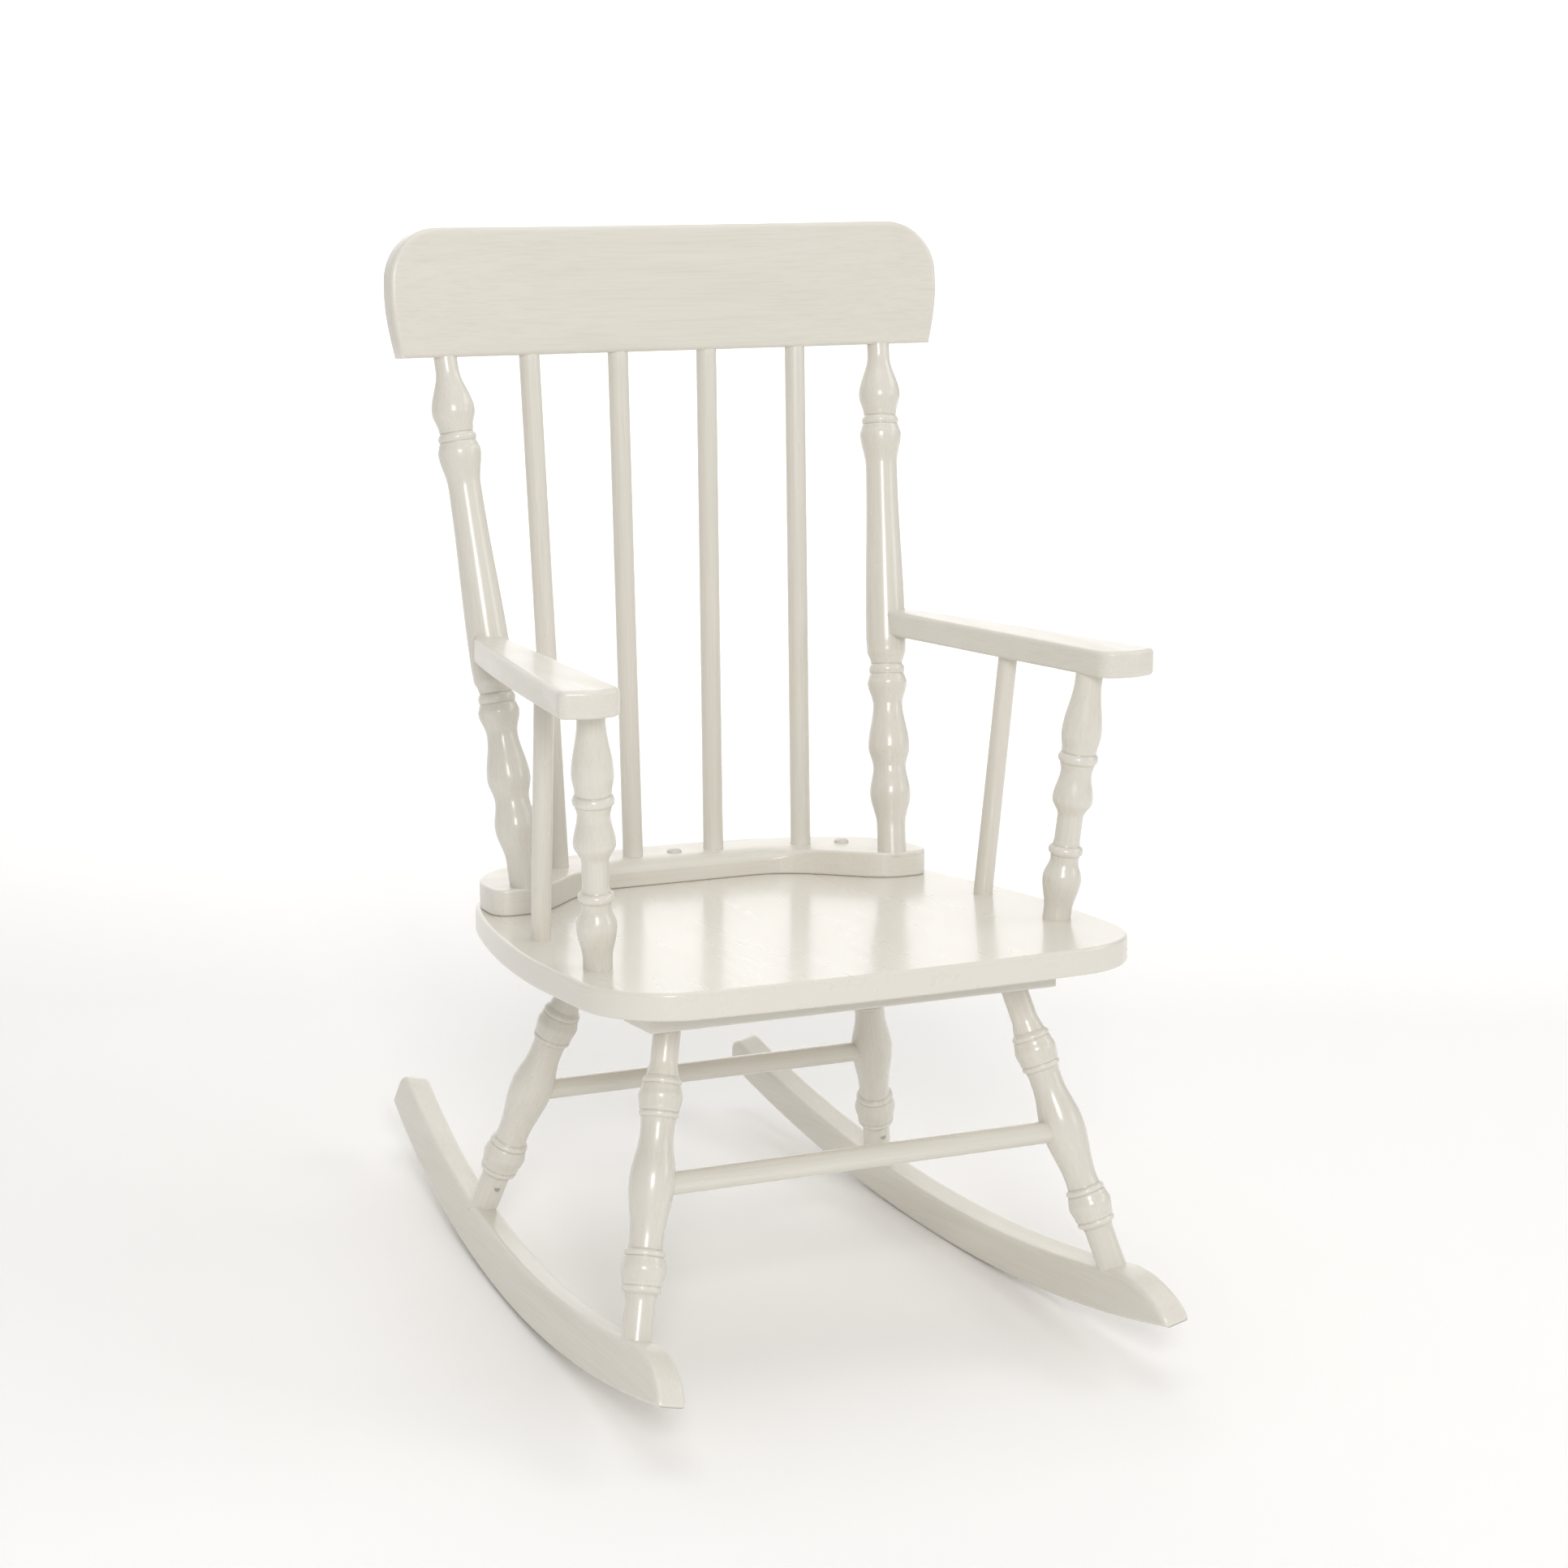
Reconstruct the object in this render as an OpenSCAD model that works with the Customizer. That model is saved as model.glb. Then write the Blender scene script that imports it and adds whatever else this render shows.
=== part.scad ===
// Spindle-back rocking chair for a child, in turned and painted wood.
// Every piece is drawn with the seat level, the seat's front edge on y = 0, the sitter's left
// towards +X and the back towards +Y. at_rest() then leans the whole chair back onto the arc of
// its rockers, as it stands on a floor by itself, with the origin under the rockers' contact.

/* [Seat] */
// Width of the seat board at its widest
seat_w = 394; // [330:2:480]
// Depth of the seat board on its centre line
seat_d = 371; // [310:1:450]
// Height of the seat's top above the floor with the seat level
seat_h = 265; // [225:1:330]
// Thickness of the seat board
seat_t = 18; // [15:0.5:25]
// Radius of the seat's front corners
seat_corner_r = 60; // [30:1:70]
// How far the seat's front edge bows forward
seat_front_bow = 5; // [2:0.5:12]
// How far the seat board shows behind the back rail
seat_margin = 3; // [1:0.5:8]

/* [Back rail] */
// Thickness of the back rail that lies on the seat
rail_t = 18; // [15:0.5:24]
// How far each end of the rail stays in from the seat's side
rail_end_inset = 30; // [22:1:36]
// Depth of the rail on its centre line, front to back
rail_depth = 50; // [42:1:62]
// Distance from the seat's rear edge to the front of the rail's end lugs
rail_lug_reach = 106; // [100:1:125]
// How far the rail's rear edge bows back over its width
rail_bow = 46; // [36:1:54]
// Radius of the rail's rear corners
rail_corner_r = 65; // [45:1:75]

/* [Back] */
// Height of the crest rail's lower edge above the seat's top
crest_rise = 371; // [300:1:450]
// Height of the crest rail
crest_h = 87; // [70:1:110]
// Thickness of the crest rail
crest_t = 18; // [16:0.5:24]
// How far the crest rail reaches past the seat's side at its lower edge
crest_reach = 4.5; // [0:0.5:12]
// How much wider each end of the crest rail is at its middle height
crest_flare = 6.5; // [2:0.5:10]
// Radius of the crest rail's top corners
crest_corner_r = 37; // [20:1:50]
// How far the crest rail's middle bows back
crest_bow = 14.5; // [8:0.5:20]
// Distance from the crest rail forward of the seat's rear edge
crest_setback = 16; // [8:1:26]
// Lean of the crest rail from upright, in degrees
crest_lean = 4.5; // [2:0.5:8]
// Distance from each back post's foot to the seat's side
post_foot_inset = 55.5; // [50:0.5:65]
// Distance from each back post's foot to the seat's rear edge
post_foot_setback = 95; // [88:1:98]
// Distance from each back post's head to the seat's side
post_head_inset = 31; // [26:0.5:40]
// Diameter of the back spindles
spindle_d = 14.3; // [12:0.1:16]
// Distance from the outer spindle to the post at the rail
spindle_foot_gap = 47; // [36:1:54]
// Distance from the outer spindle to the post at the crest rail
spindle_head_gap = 64; // [50:1:70]
// Distance from the rail's rear edge to the spindles' line
spindle_setback = 26; // [20:1:32]

/* [Arms] */
// Height of the arms' top above the seat's top
arm_rise = 187; // [155:1:225]
// Thickness of the arms
arm_t = 18; // [15:0.5:24]
// Distance from the seat's front edge to the arms' front end
arm_front = 38; // [25:1:50]
// How far the arms' front end reaches out past the seat's side
arm_reach = 18; // [10:1:24]
// Width of the arms at their front end
arm_w = 42; // [36:1:50]
// Distance from each arm post's foot to the seat's side
arm_post_foot_inset = 28; // [24:1:34]
// Distance from the seat's front edge to the arm posts' feet
arm_post_foot_y = 94; // [84:1:104]
// Distance from each arm post's head to the seat's side
arm_post_head_inset = 16; // [12:1:19]
// Distance from the seat's front edge to the arm posts' heads
arm_post_head_y = 75; // [68:1:86]
// Diameter of the arm spindles
arm_spindle_d = 13.3; // [11:0.1:15]
// Distance from each arm spindle's foot to the seat's side
arm_spindle_foot_inset = 30; // [26:1:36]
// Distance from the seat's front edge to the arm spindles' feet
arm_spindle_foot_y = 190; // [176:1:206]
// Distance from each arm spindle's head to the seat's side
arm_spindle_head_inset = 24.5; // [21:0.5:28]
// Distance from the seat's front edge to the arm spindles' heads
arm_spindle_head_y = 168; // [156:1:180]

/* [Legs] */
// Thickness of the cleats under the seat
cleat_t = 20; // [18:0.5:26]
// Width of the cleats
cleat_w = 42; // [36:1:50]
// Distance from the seat's front edge to the front cleat's middle
front_cleat_y = 80; // [70:1:95]
// Distance from the seat's rear edge to the rear cleat's middle
rear_cleat_setback = 115; // [100:1:125]
// How far a cleat reaches past the legs it holds
cleat_reach = 22; // [17:1:28]
// Distance from each front leg's head to the seat's side
front_leg_inset = 70; // [62:1:78]
// Distance from each rear leg's head to the seat's side
rear_leg_inset = 87; // [80:1:95]
// How far the front legs' feet stand forward of their heads
front_leg_splay = 53; // [35:1:60]
// How far the rear legs' feet stand behind their heads
rear_leg_splay = 66; // [45:1:75]
// Diameter of the front stretcher
front_stretcher_d = 15; // [12:0.1:17]
// Diameter of the rear stretcher
rear_stretcher_d = 14; // [12:0.1:17]
// Distance down each front leg to the front stretcher
front_stretcher_drop = 103.5; // [96:0.5:112]
// Distance down each rear leg to the rear stretcher
rear_stretcher_drop = 101; // [94:0.5:110]

/* [Rockers] */
// Radius of the rockers' running edge
rocker_r = 1000; // [800:10:1300]
// Thickness of the rockers
rocker_t = 19.5; // [18:0.5:26]
// Depth of the rockers at the front
rocker_depth_front = 34; // [30:0.5:42]
// Depth of the rockers at the rear end
rocker_depth_rear = 28; // [24:0.5:38]
// Distance from the seat's front edge to the lowest point of the rockers with the seat level
rocker_low_y = 138; // [120:1:160]
// How far the rockers reach in front of the front feet
rocker_nose = 67; // [56:1:80]
// How far the rockers reach behind the rear feet
rocker_tail = 197; // [150:1:220]
// Distance from the running edge to the seat's side, at the seat's front edge
rocker_inset = 12.8; // [8:0.1:20]
// Outward slant of the rockers from upright, in degrees
rocker_cant = 11.6; // [6:0.1:14]
// Turn of the rockers, wider at the front, in degrees
rocker_toe = 3.3; // [1:0.1:5]
// Backward lean of the chair when it stands by itself, in degrees
rest_lean = 6.55; // [2:0.05:11]

/* [Joints and fixings] */
// Radial clearance of the glued tenons
glue_fit = 0.1; // [0.05:0.01:0.2]
// Diameter of the back posts' tenons
post_tenon_d = 11; // [9:0.5:12]
// Diameter of the spindles' tenons
spindle_tenon_d = 9.5; // [8:0.5:10]
// Diameter of the arm posts' and legs' tenons
leg_tenon_d = 12; // [10:0.5:13]
// Depth of the tenons
tenon_depth = 13; // [10:0.5:14]
// Diameter of the screws' shanks
screw_d = 4; // [3:0.5:4.5]
// Diameter of the button plugs that cover the screws
plug_d = 10.5; // [9:0.5:12]

/* [Hidden] */
$fn = 96;

// Finish
paint = "#E4E0D6";
steel = "#B8B8B4";

// Number of back spindles, as NODES names them
spindle_count = 4;

// Gap at each face where two pieces meet, and how far the drills run past the tenons
face_gap = 0.05;
drill_over = 1;
// Length by which a turned member is drawn long before it is cut to its mating face
cut_over = 8;
// Length of a tenon inside its own member
tenon_root = 8;
// Turns of tenons and sticks about their own axes, which keep their seams apart
seam_turn = 40;
stick_turn = 25;
// Size of the slabs that cut the members
big = 1200;
// Steps of a round stretch of an outline, and of a turned curve between two stations
arc_steps = 10;
turn_steps = 4;
// Facets of the large arcs of the crest rail and of the back rail's bevel
bow_fn = 720;

// Heights, from the floor with the seat level
half_w = seat_w / 2;
seat_under = seat_h - seat_t;
rail_z = seat_h + face_gap;
rail_top = rail_z + rail_t;
cleat_top = seat_under - face_gap;
cleat_under = cleat_top - cleat_t;
arm_top = seat_h + arm_rise;
arm_under = arm_top - arm_t;
crest_z = seat_h + crest_rise;

// Back rail: the rear edge is one arc with centre rail_cy, and a smaller arc rounds each corner
rail_half = half_w - rail_end_inset;
rail_rear = seat_d - seat_margin;
rail_r = bow_radius(rail_half, rail_bow);
rail_cy = rail_rear - rail_r;
rail_corner = [rail_half - rail_corner_r,
    rail_cy + sqrt(pow(rail_r - rail_corner_r, 2) - pow(rail_half - rail_corner_r, 2))];
rail_corner_a = atan2(rail_corner.y - rail_cy, rail_corner.x);
rail_lug_y = seat_d - rail_lug_reach;
rail_front = rail_rear - rail_depth;
// Seat outline: distance from the front edge to the widest place, the handles of the side that runs
// from there to the rear corner, and the turn in degrees at which that side joins the rear corner
seat_shoulder_y = 120;
seat_side_handle = [0.5, 60];
seat_hip_handle = 50;
seat_rear_a = 17;
// How much further back than its bow the seat's front edge runs at the sides, and how far the side
// leans in towards the front
seat_corner_drop = 3;
seat_side_lean = 2;
rail_lug_w = 22;
rail_lug_r = 12;
rail_hollow_half = 50;
// Bevel of the rail's front top edge at its middle, [depth, drop], hollowed so that it runs out sideways
rail_bevel = [15, 7];
rail_bevel_a = atan2(rail_bevel.y, rail_bevel.x);
rail_bevel_half = 58;
rail_bevel_r = bow_radius(rail_bevel_half, rail_bevel.y);

// Crest rail
crest_half = half_w + crest_reach;
crest_y = seat_d - crest_setback;
crest_r = bow_radius(crest_half + crest_flare, crest_bow);

// Arm outline: how much further back than the front's middle its inner and outer front corners lie,
// the roundings of its inner corner, front and outer corner, and the curve of its outer side as
// [in from the outer edge, behind the front end] or, near the post, as [out, forward] from its axis
arm_front_taper = [6, 9];
arm_corner_r = [12, 25, 7];
arm_side_aim = [9, 66];
arm_side_start = [2.5, 24];
arm_side_bend = [11, 72];
arm_side_waist = [39, 115];
arm_rear_outer = [16.5, 19];
arm_rear_inner = 7;
arm_rear_heel = [12, 3];

// Members: [foot, head] axes on their mating faces
post_foot = [half_w - post_foot_inset, seat_d - post_foot_setback, rail_top];
post_head = on_crest(half_w - post_head_inset);
arm_post_foot = [half_w - arm_post_foot_inset, arm_post_foot_y, seat_h];
arm_post_head = [half_w - arm_post_head_inset, arm_post_head_y, arm_under];
arm_spindle_foot = [half_w - arm_spindle_foot_inset, arm_spindle_foot_y, seat_h];
arm_spindle_head = [half_w - arm_spindle_head_inset, arm_spindle_head_y, arm_under];
rear_cleat_y = seat_d - rear_cleat_setback;
front_leg_head = [half_w - front_leg_inset, front_cleat_y, cleat_under];
rear_leg_head = [half_w - rear_leg_inset, rear_cleat_y, cleat_under];

// Rockers: places along one are angles about the centre of its running edge
rocker_base = [half_w - rocker_inset, 0, rocker_t / 2 * sin(rocker_cant)];
front_foot_a = foot_angle(front_cleat_y - front_leg_splay);
rear_foot_a = foot_angle(rear_cleat_y + rear_leg_splay);
nose_a = front_foot_a - angle_of(rocker_nose);
tail_a = rear_foot_a + angle_of(rocker_tail);
// Length of the nose's rolled top along the rocker, and the handles that shape it
nose_roll = 52;
nose_roll_a = angle_of(nose_roll);
nose_pull = 27;
nose_lip = 13;
tail_corner_r = 11;
front_leg_foot = on_rocker(front_foot_a);
rear_leg_foot = on_rocker(rear_foot_a);
front_stretcher_end = down_member(front_leg_head, front_leg_foot, front_stretcher_drop);
rear_stretcher_end = down_member(rear_leg_head, rear_leg_foot, rear_stretcher_drop);
stretcher_depth = 10;

// Resting place: the lowest point of the rocker's inner edge once the chair leans back
rest_slope = [-cos(rocker_toe) * sin(rest_lean),
    cos(rocker_cant) * cos(rest_lean) + sin(rocker_toe) * sin(rocker_cant) * sin(rest_lean)];
rest_a = atan2(-rest_slope.x, rest_slope.y);
rest_point = in_rocker(-rocker_t / 2, arc_point(rest_a, 0));
rest_drop = rest_point.z * cos(rest_lean) - rest_point.y * sin(rest_lean);
rest_shift = rest_point.y * cos(rest_lean) + rest_point.z * sin(rest_lean);

// Turned profiles: [distance from the member's head, radius] at each crest and hollow
post_turning = [[0, 8], [8, 8], [36.5, 14.8], [51, 11.4], [56.5, 13.2], [58, 13], [64, 14.8],
    [87.5, 11.3], [210, 14.3], [219, 13.9], [228, 11], [232.6, 12.4], [235, 12.3], [241.5, 14.2],
    [257, 10.6], [287, 14.8], [301.8, 11.8], [320, 14.5], [343, 10.2], [361, 10.2]];
arm_post_turning = [[0, 9.2], [6, 9.2], [41, 13.6], [53, 11.6], [58, 13.4], [60, 13.2], [67, 10.6],
    [85.9, 13.7], [97.8, 8.7], [113.8, 8.7], [120.6, 11.5], [127, 9.5], [140, 13.1], [163, 9.5],
    [168.7, 9.5]];
leg_turning = [[0, 8.9], [24, 8.9], [32, 10.2], [36.5, 12.4], [38, 12.4], [46, 14.1], [56, 12.9],
    [58.5, 12.6], [61.5, 10.8], [70, 10.8], [99.8, 14.7], [137, 10.8], [144.5, 12.9], [147, 13],
    [154.6, 14.6], [166, 12.7], [168.5, 12.3], [173, 9.6], [198, 9.6]];

// Screws: [countersunk head's radius, head's height], and how deep they sit
screw_head = [4, 2.6];
screw_tip = 5;
rail_screw_l = 26;
cleat_screw_l = 30;
arm_screw_l = 36;
cleat_screw_half = 68;
cleat_screw_sink = 1;
plug_sink = 5;
plug_rise = 2.8;
plug_stub_r = 4.1;
// Share of a button plug's rise that is domed
plug_dome = 0.8;
// Screws of the rail: the middle one's and the side ones' distance from the rail's rear, and how far
// inside the posts the side ones stand
rail_screw_back = [29, 49];
rail_screw_gap = 18;
rail_screw_x = post_foot.x - rail_screw_gap;
rail_plug_places = [[0, rail_rear - rail_screw_back[0]],
    [rail_screw_x, rail_rear - rail_screw_back[1]], [-rail_screw_x, rail_rear - rail_screw_back[1]]];
arm_plug_rise = 1.2;
// The arm screws stand this far out from the post's axis
arm_screw_out = 3;
arm_screw_axis = member_at(post_head, post_foot, arm_under + arm_t / 2) + [arm_screw_out, 0, 0];
arm_post_r = 14.2;
arm_screw_sink = 6;
// Brads through the rear legs' lower necks: [shank radius, head radius, length], height above the foot
brad = [0.9, 2, 9];
brad_rise = 16;
brad_head_h = 0.8;
leg_neck_r = 9.6;

// ---- Functions ----

function lerp(a, b, t) = a + (b - a) * t;
function unit(v) = v / norm(v);
// Radius of an arc whose chord is 2 * half wide and whose middle stands out by bow
function bow_radius(half, bow) = (half * half + bow * bow) / (2 * bow);
// Point at height z on the line through a and b
function member_at(a, b, z) = lerp(a, b, (z - a.z) / (b.z - a.z));
// Point at a distance from a on the line towards b
function down_member(a, b, distance) = a + unit(b - a) * distance;
// Points of a circular arc
function arc(centre, r, a0, a1) =
    [for (i = [0:arc_steps]) let (a = lerp(a0, a1, i / arc_steps)) centre + r * [cos(a), sin(a)]];
// Points of a cubic curve with two handles
function curve(a, b, c, d) =
    [for (i = [0:arc_steps]) let (t = i / arc_steps, u = 1 - t)
        u * u * u * a + 3 * t * u * u * b + 3 * t * t * u * c + t * t * t * d];
// Points that round the corner at tip, between two straight edges
function rounded(before, tip, after, r) =
    let (u = unit(before - tip), v = unit(after - tip), half = acos(u * v) / 2,
        centre = tip + unit(u + v) * r / sin(half),
        p = tip + u * r / tan(half) - centre, q = tip + v * r / tan(half) - centre,
        a0 = atan2(p.y, p.x), turn = atan2(q.y, q.x) - a0,
        sweep = turn > 180 ? turn - 360 : turn < -180 ? turn + 360 : turn)
    arc(centre, r, a0, a0 + sweep);
// An outline that is the same on both sides of x = 0, from its half with x >= 0
function both_sides(half) =
    concat(half, [for (i = [len(half) - 1:-1:0]) if (half[i].x > 0) [-half[i].x, half[i].y]]);
// Stations of a turned profile stretched to a member's length and drawn past both its ends
function stretched(stations, length) =
    let (last = len(stations) - 1)
    [for (i = [0:last]) [i == 0 ? -cut_over : i == last ? length + cut_over
        : stations[i].x * length / stations[last].x, stations[i].y]];
// Outline of a turned member between its stations, eased as a gouge leaves it
function ease(t) = (1 - cos(180 * t)) / 2;
function turned_points(stations) = concat(
    [for (k = [0:len(stations) - 2])
        let (p = stations[k], q = stations[k + 1], steps = p.y == q.y ? 1 : turn_steps)
        for (i = [0:steps - 1])
            [lerp(p.y, q.y, ease(i / steps)), lerp(p.x, q.x, i / steps)]],
    [[stations[len(stations) - 1].y, stations[len(stations) - 1].x]]);
// Middle of the crest rail's lower face at a distance x from the centre line
function on_crest(x) =
    let (sweep = sqrt(crest_r * crest_r - x * x) - crest_r)
    [x, crest_y + sweep * cos(crest_lean), crest_z - sweep * sin(crest_lean)];
// Angle that a length takes along the running edge, and that of a foot at distance y from the front
function angle_of(length) = length / rocker_r * 180 / PI;
function foot_angle(y) = asin((y / cos(rocker_toe) - rocker_low_y) / (rocker_r - rocker_depth_front));
// Depth of the rocker, and a point of its plane as [along, up], at an angle
function rocker_depth(a) =
    lerp(rocker_depth_front, rocker_depth_rear, (a - nose_a) / (tail_a - nose_a));
function arc_point(a, depth) =
    [rocker_low_y + (rocker_r - depth) * sin(a), rocker_r - (rocker_r - depth) * cos(a)];
// Place in the chair of a point of the left rocker: across its thickness, and [along, up]
function in_rocker(across, p) = rocker_base
    + across * [cos(rocker_cant) * cos(rocker_toe), cos(rocker_cant) * sin(rocker_toe), sin(rocker_cant)]
    + p.x * [-sin(rocker_toe), cos(rocker_toe), 0]
    + p.y * [-sin(rocker_cant) * cos(rocker_toe), -sin(rocker_cant) * sin(rocker_toe), cos(rocker_cant)];
function on_rocker(a) = in_rocker(0, arc_point(a, rocker_depth(a)));

// ---- Shared shapes ----

// Leans the level chair back onto its rockers
module at_rest() {
    translate([0, -rest_shift, -rest_drop])
        rotate([-rest_lean, 0, 0])
            children();
}

// The sitter's left side as drawn, or its mirror image for the right side
module on_side(left) {
    if (left)
        children();
    else
        mirror([1, 0, 0])
            children();
}

// Turns +Z to run from a to b, starting at a
module along(a, b) {
    v = b - a;
    translate(a)
        rotate([0, acos(v.z / norm(v)), atan2(v.y, v.x)])
            children();
}

// All space above or below a height
module above(z) {
    translate([-big / 2, -big / 2, z])
        cube([big, big, big]);
}

module below(z) {
    translate([-big / 2, -big / 2, z - big])
        cube([big, big, big]);
}

module in_crest_frame() {
    translate([0, crest_y, crest_z])
        rotate([-crest_lean, 0, 0])
            children();
}

module in_rocker_frame() {
    translate(rocker_base)
        rotate([0, 0, rocker_toe])
            rotate([0, -rocker_cant, 0])
                children();
}

// Round stick from a to b, drawn past both ends by over
module stick(a, b, d, over = 0) {
    along(a, b)
        translate([0, 0, -over])
            rotate([0, 0, stick_turn])
                cylinder(d = d, h = norm(b - a) + 2 * over);
}

// Turned member from its head to its foot, drawn past both ends
module turned(stations, head, foot) {
    length = norm(foot - head);
    along(head, foot)
        rotate_extrude()
            polygon(concat([[0, -cut_over]], turned_points(stretched(stations, length)),
                [[0, length + cut_over]]));
}

// Tenon at the end a of a member that comes from b: from inside the member to its depth beyond a
module tenon(a, b, d, depth, fit = 0) {
    along(a + unit(b - a) * tenon_root, a)
        rotate([0, 0, seam_turn])
            cylinder(d = d + 2 * fit, h = tenon_root + depth + (fit > 0 ? drill_over : 0));
}

// Wood screw along +Z from its head's face, or its hole when fit is above 0
module screw(length, fit = 0) {
    r = screw_d / 2 + fit;
    rotate_extrude()
        polygon([[0, 0], [screw_head.x + fit, 0], [screw_head.x + fit, fit], [r, screw_head.y + fit],
            [r, length - screw_tip + fit], [0, length + fit]]);
}

// Button plug along +Z out of the wood, from the bottom of its stub
module plug(rise) {
    cylinder(r = plug_stub_r, h = plug_sink + rise / 2);
    translate([0, 0, plug_sink + face_gap])
        intersection() {
            cylinder(d = plug_d, h = rise);
            translate([0, 0, rise - bow_radius(plug_d / 2, rise * plug_dome)])
                sphere(r = bow_radius(plug_d / 2, rise * plug_dome));
        }
}

// ---- Outlines ----

// Rear arc of the rail, or of the seat when grown by its margin, on the sitter's left, from a turn
// of its corner to the centre line
function rear_edge(grow, from = 0) = concat(
    arc(rail_corner, rail_corner_r + grow, from, rail_corner_a),
    arc([0, rail_cy], rail_r + grow, rail_corner_a, 90));

// Front edge of the seat at a distance x from the centre line
function seat_front(x) =
    let (r = bow_radius(half_w, seat_front_bow + seat_corner_drop)) r - sqrt(r * r - x * x);

module seat_outline() {
    tip = [half_w - seat_side_lean, seat_front(half_w)];
    corner_x = half_w - seat_corner_r;
    shoulder = [half_w, seat_shoulder_y];
    rear = rail_corner + (rail_corner_r + seat_margin) * [cos(seat_rear_a), sin(seat_rear_a)];
    polygon(both_sides(concat(
        [for (i = [0:arc_steps - 1]) let (x = corner_x * i / arc_steps) [x, seat_front(x)]],
        rounded([corner_x, seat_front(corner_x)], tip, shoulder, seat_corner_r),
        curve(shoulder, shoulder + seat_side_handle,
            rear + seat_hip_handle * [sin(seat_rear_a), -cos(seat_rear_a)], rear),
        rear_edge(seat_margin, seat_rear_a))));
}

module rail_outline() {
    lug = [rail_half, rail_lug_y];
    inner = [rail_half - rail_lug_w, rail_lug_y];
    hollow = [rail_hollow_half, rail_front];
    reach = inner.x - hollow.x;
    polygon(both_sides(concat(
        [[0, rail_front]],
        curve(hollow, hollow + [reach / 2, 0], inner - [reach / 3, 0], inner),
        rounded(inner, lug, [rail_half, rail_corner.y], rail_lug_r),
        rear_edge(0))));
}

module crest_outline() {
    wide = crest_half + crest_flare;
    middle = crest_h / 2;
    polygon(both_sides(concat(
        [[0, 0], [crest_half, 0]],
        [for (i = [1:4]) [crest_half + crest_flare * sin(90 * i / 4), middle * i / 4]],
        rounded([wide, middle], [wide - 1, crest_h], [0, crest_h], crest_corner_r),
        [[0, crest_h]])));
}

module arm_outline() {
    outer_x = half_w + arm_reach;
    inner_front = [outer_x - arm_w, arm_front + arm_front_taper.x];
    middle_front = [outer_x - arm_w / 2, arm_front];
    outer_front = [outer_x, arm_front + arm_front_taper.y];
    post = member_at(post_head, post_foot, arm_top);
    inner_rear = [post.x - arm_rear_inner, post.y];
    outer_rear = [post.x + arm_rear_outer.x, post.y - arm_rear_outer.y];
    polygon(concat(
        [inner_rear],
        rounded(inner_rear, inner_front, middle_front, arm_corner_r[0]),
        rounded(inner_front, middle_front, outer_front, arm_corner_r[1]),
        rounded(middle_front, outer_front,
            [outer_x - arm_side_aim.x, arm_front + arm_side_aim.y], arm_corner_r[2]),
        curve([outer_x - arm_side_start.x, arm_front + arm_side_start.y],
            [outer_x - arm_side_bend.x, arm_front + arm_side_bend.y],
            [post.x + arm_side_waist.x, post.y - arm_side_waist.y], outer_rear),
        [[post.x + arm_rear_heel.x, post.y - arm_rear_heel.y], [post.x, post.y]]));
}

// Side of a rocker as [along, up], with its top raised by grow
module rocker_outline(grow = 0) {
    top_a = nose_a + nose_roll_a;
    nose_top = arc_point(top_a, rocker_depth(top_a) + grow);
    nose_low = arc_point(nose_a, 0);
    tail_low = arc_point(tail_a, 0);
    tail_top = arc_point(tail_a, rocker_depth_rear + grow);
    tail_a2 = tail_a - angle_of(2 * tail_corner_r);
    polygon(concat(
        [for (i = [0:3 * arc_steps]) arc_point(lerp(nose_a, tail_a, i / (3 * arc_steps)), 0)],
        rounded(tail_low, tail_top, arc_point(tail_a2, rocker_depth(tail_a2) + grow), tail_corner_r),
        [for (i = [0:3 * arc_steps])
            let (a = lerp(tail_a2, top_a, i / (3 * arc_steps))) arc_point(a, rocker_depth(a) + grow)],
        curve(nose_top, nose_top - nose_pull * [cos(top_a), sin(top_a)],
            nose_low + nose_lip * [-sin(nose_a), cos(nose_a)], nose_low)));
}

module rocker_slab(thick, grow = 0) {
    in_rocker_frame()
        rotate([90, 0, 90])
            linear_extrude(thick, center = true)
                rocker_outline(grow);
}

// ---- Seat ----

module seat_board() {
    color(paint)
        difference() {
            translate([0, 0, seat_under])
                linear_extrude(seat_t)
                    seat_outline();
            for (left = [true, false])
                on_side(left) {
                    tenon(arm_post_foot, arm_post_head, leg_tenon_d, tenon_depth, glue_fit);
                    tenon(arm_spindle_foot, arm_spindle_head, spindle_tenon_d, tenon_depth, glue_fit);
                    tenon(post_foot, post_head, post_tenon_d, rail_t + tenon_depth, glue_fit);
                }
            rail_screw_set(glue_fit);
            cleat_screw_set(glue_fit);
        }
}

module back_rail() {
    color(paint)
        difference() {
            translate([0, 0, rail_z])
                linear_extrude(rail_t)
                    rail_outline();
            rail_bevel_cut();
            for (left = [true, false])
                on_side(left)
                    tenon(post_foot, post_head, post_tenon_d, rail_t + tenon_depth, glue_fit);
            for (i = [0:spindle_count - 1])
                tenon(spindle_foot(i), spindle_head(i), spindle_tenon_d, tenon_depth, glue_fit);
            for (place = rail_plug_places)
                translate([place.x, place.y, rail_top - plug_sink])
                    cylinder(r = plug_stub_r + glue_fit, h = plug_sink + drill_over);
            rail_screw_set(glue_fit);
        }
}

// Bevel of the rail's hollow front edge, cut by a wide roller tilted towards the front
module rail_bevel_cut() {
    translate([0, rail_front, rail_top])
        rotate([rail_bevel_a, 0, 0])
            translate([0, -rail_lug_reach, rail_bevel_r - rail_bevel.y * cos(rail_bevel_a)])
                rotate([-90, 0, 0])
                    cylinder(r = rail_bevel_r, h = rail_lug_reach + 1.5 * rail_bevel.x, $fn = bow_fn);
}

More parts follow.
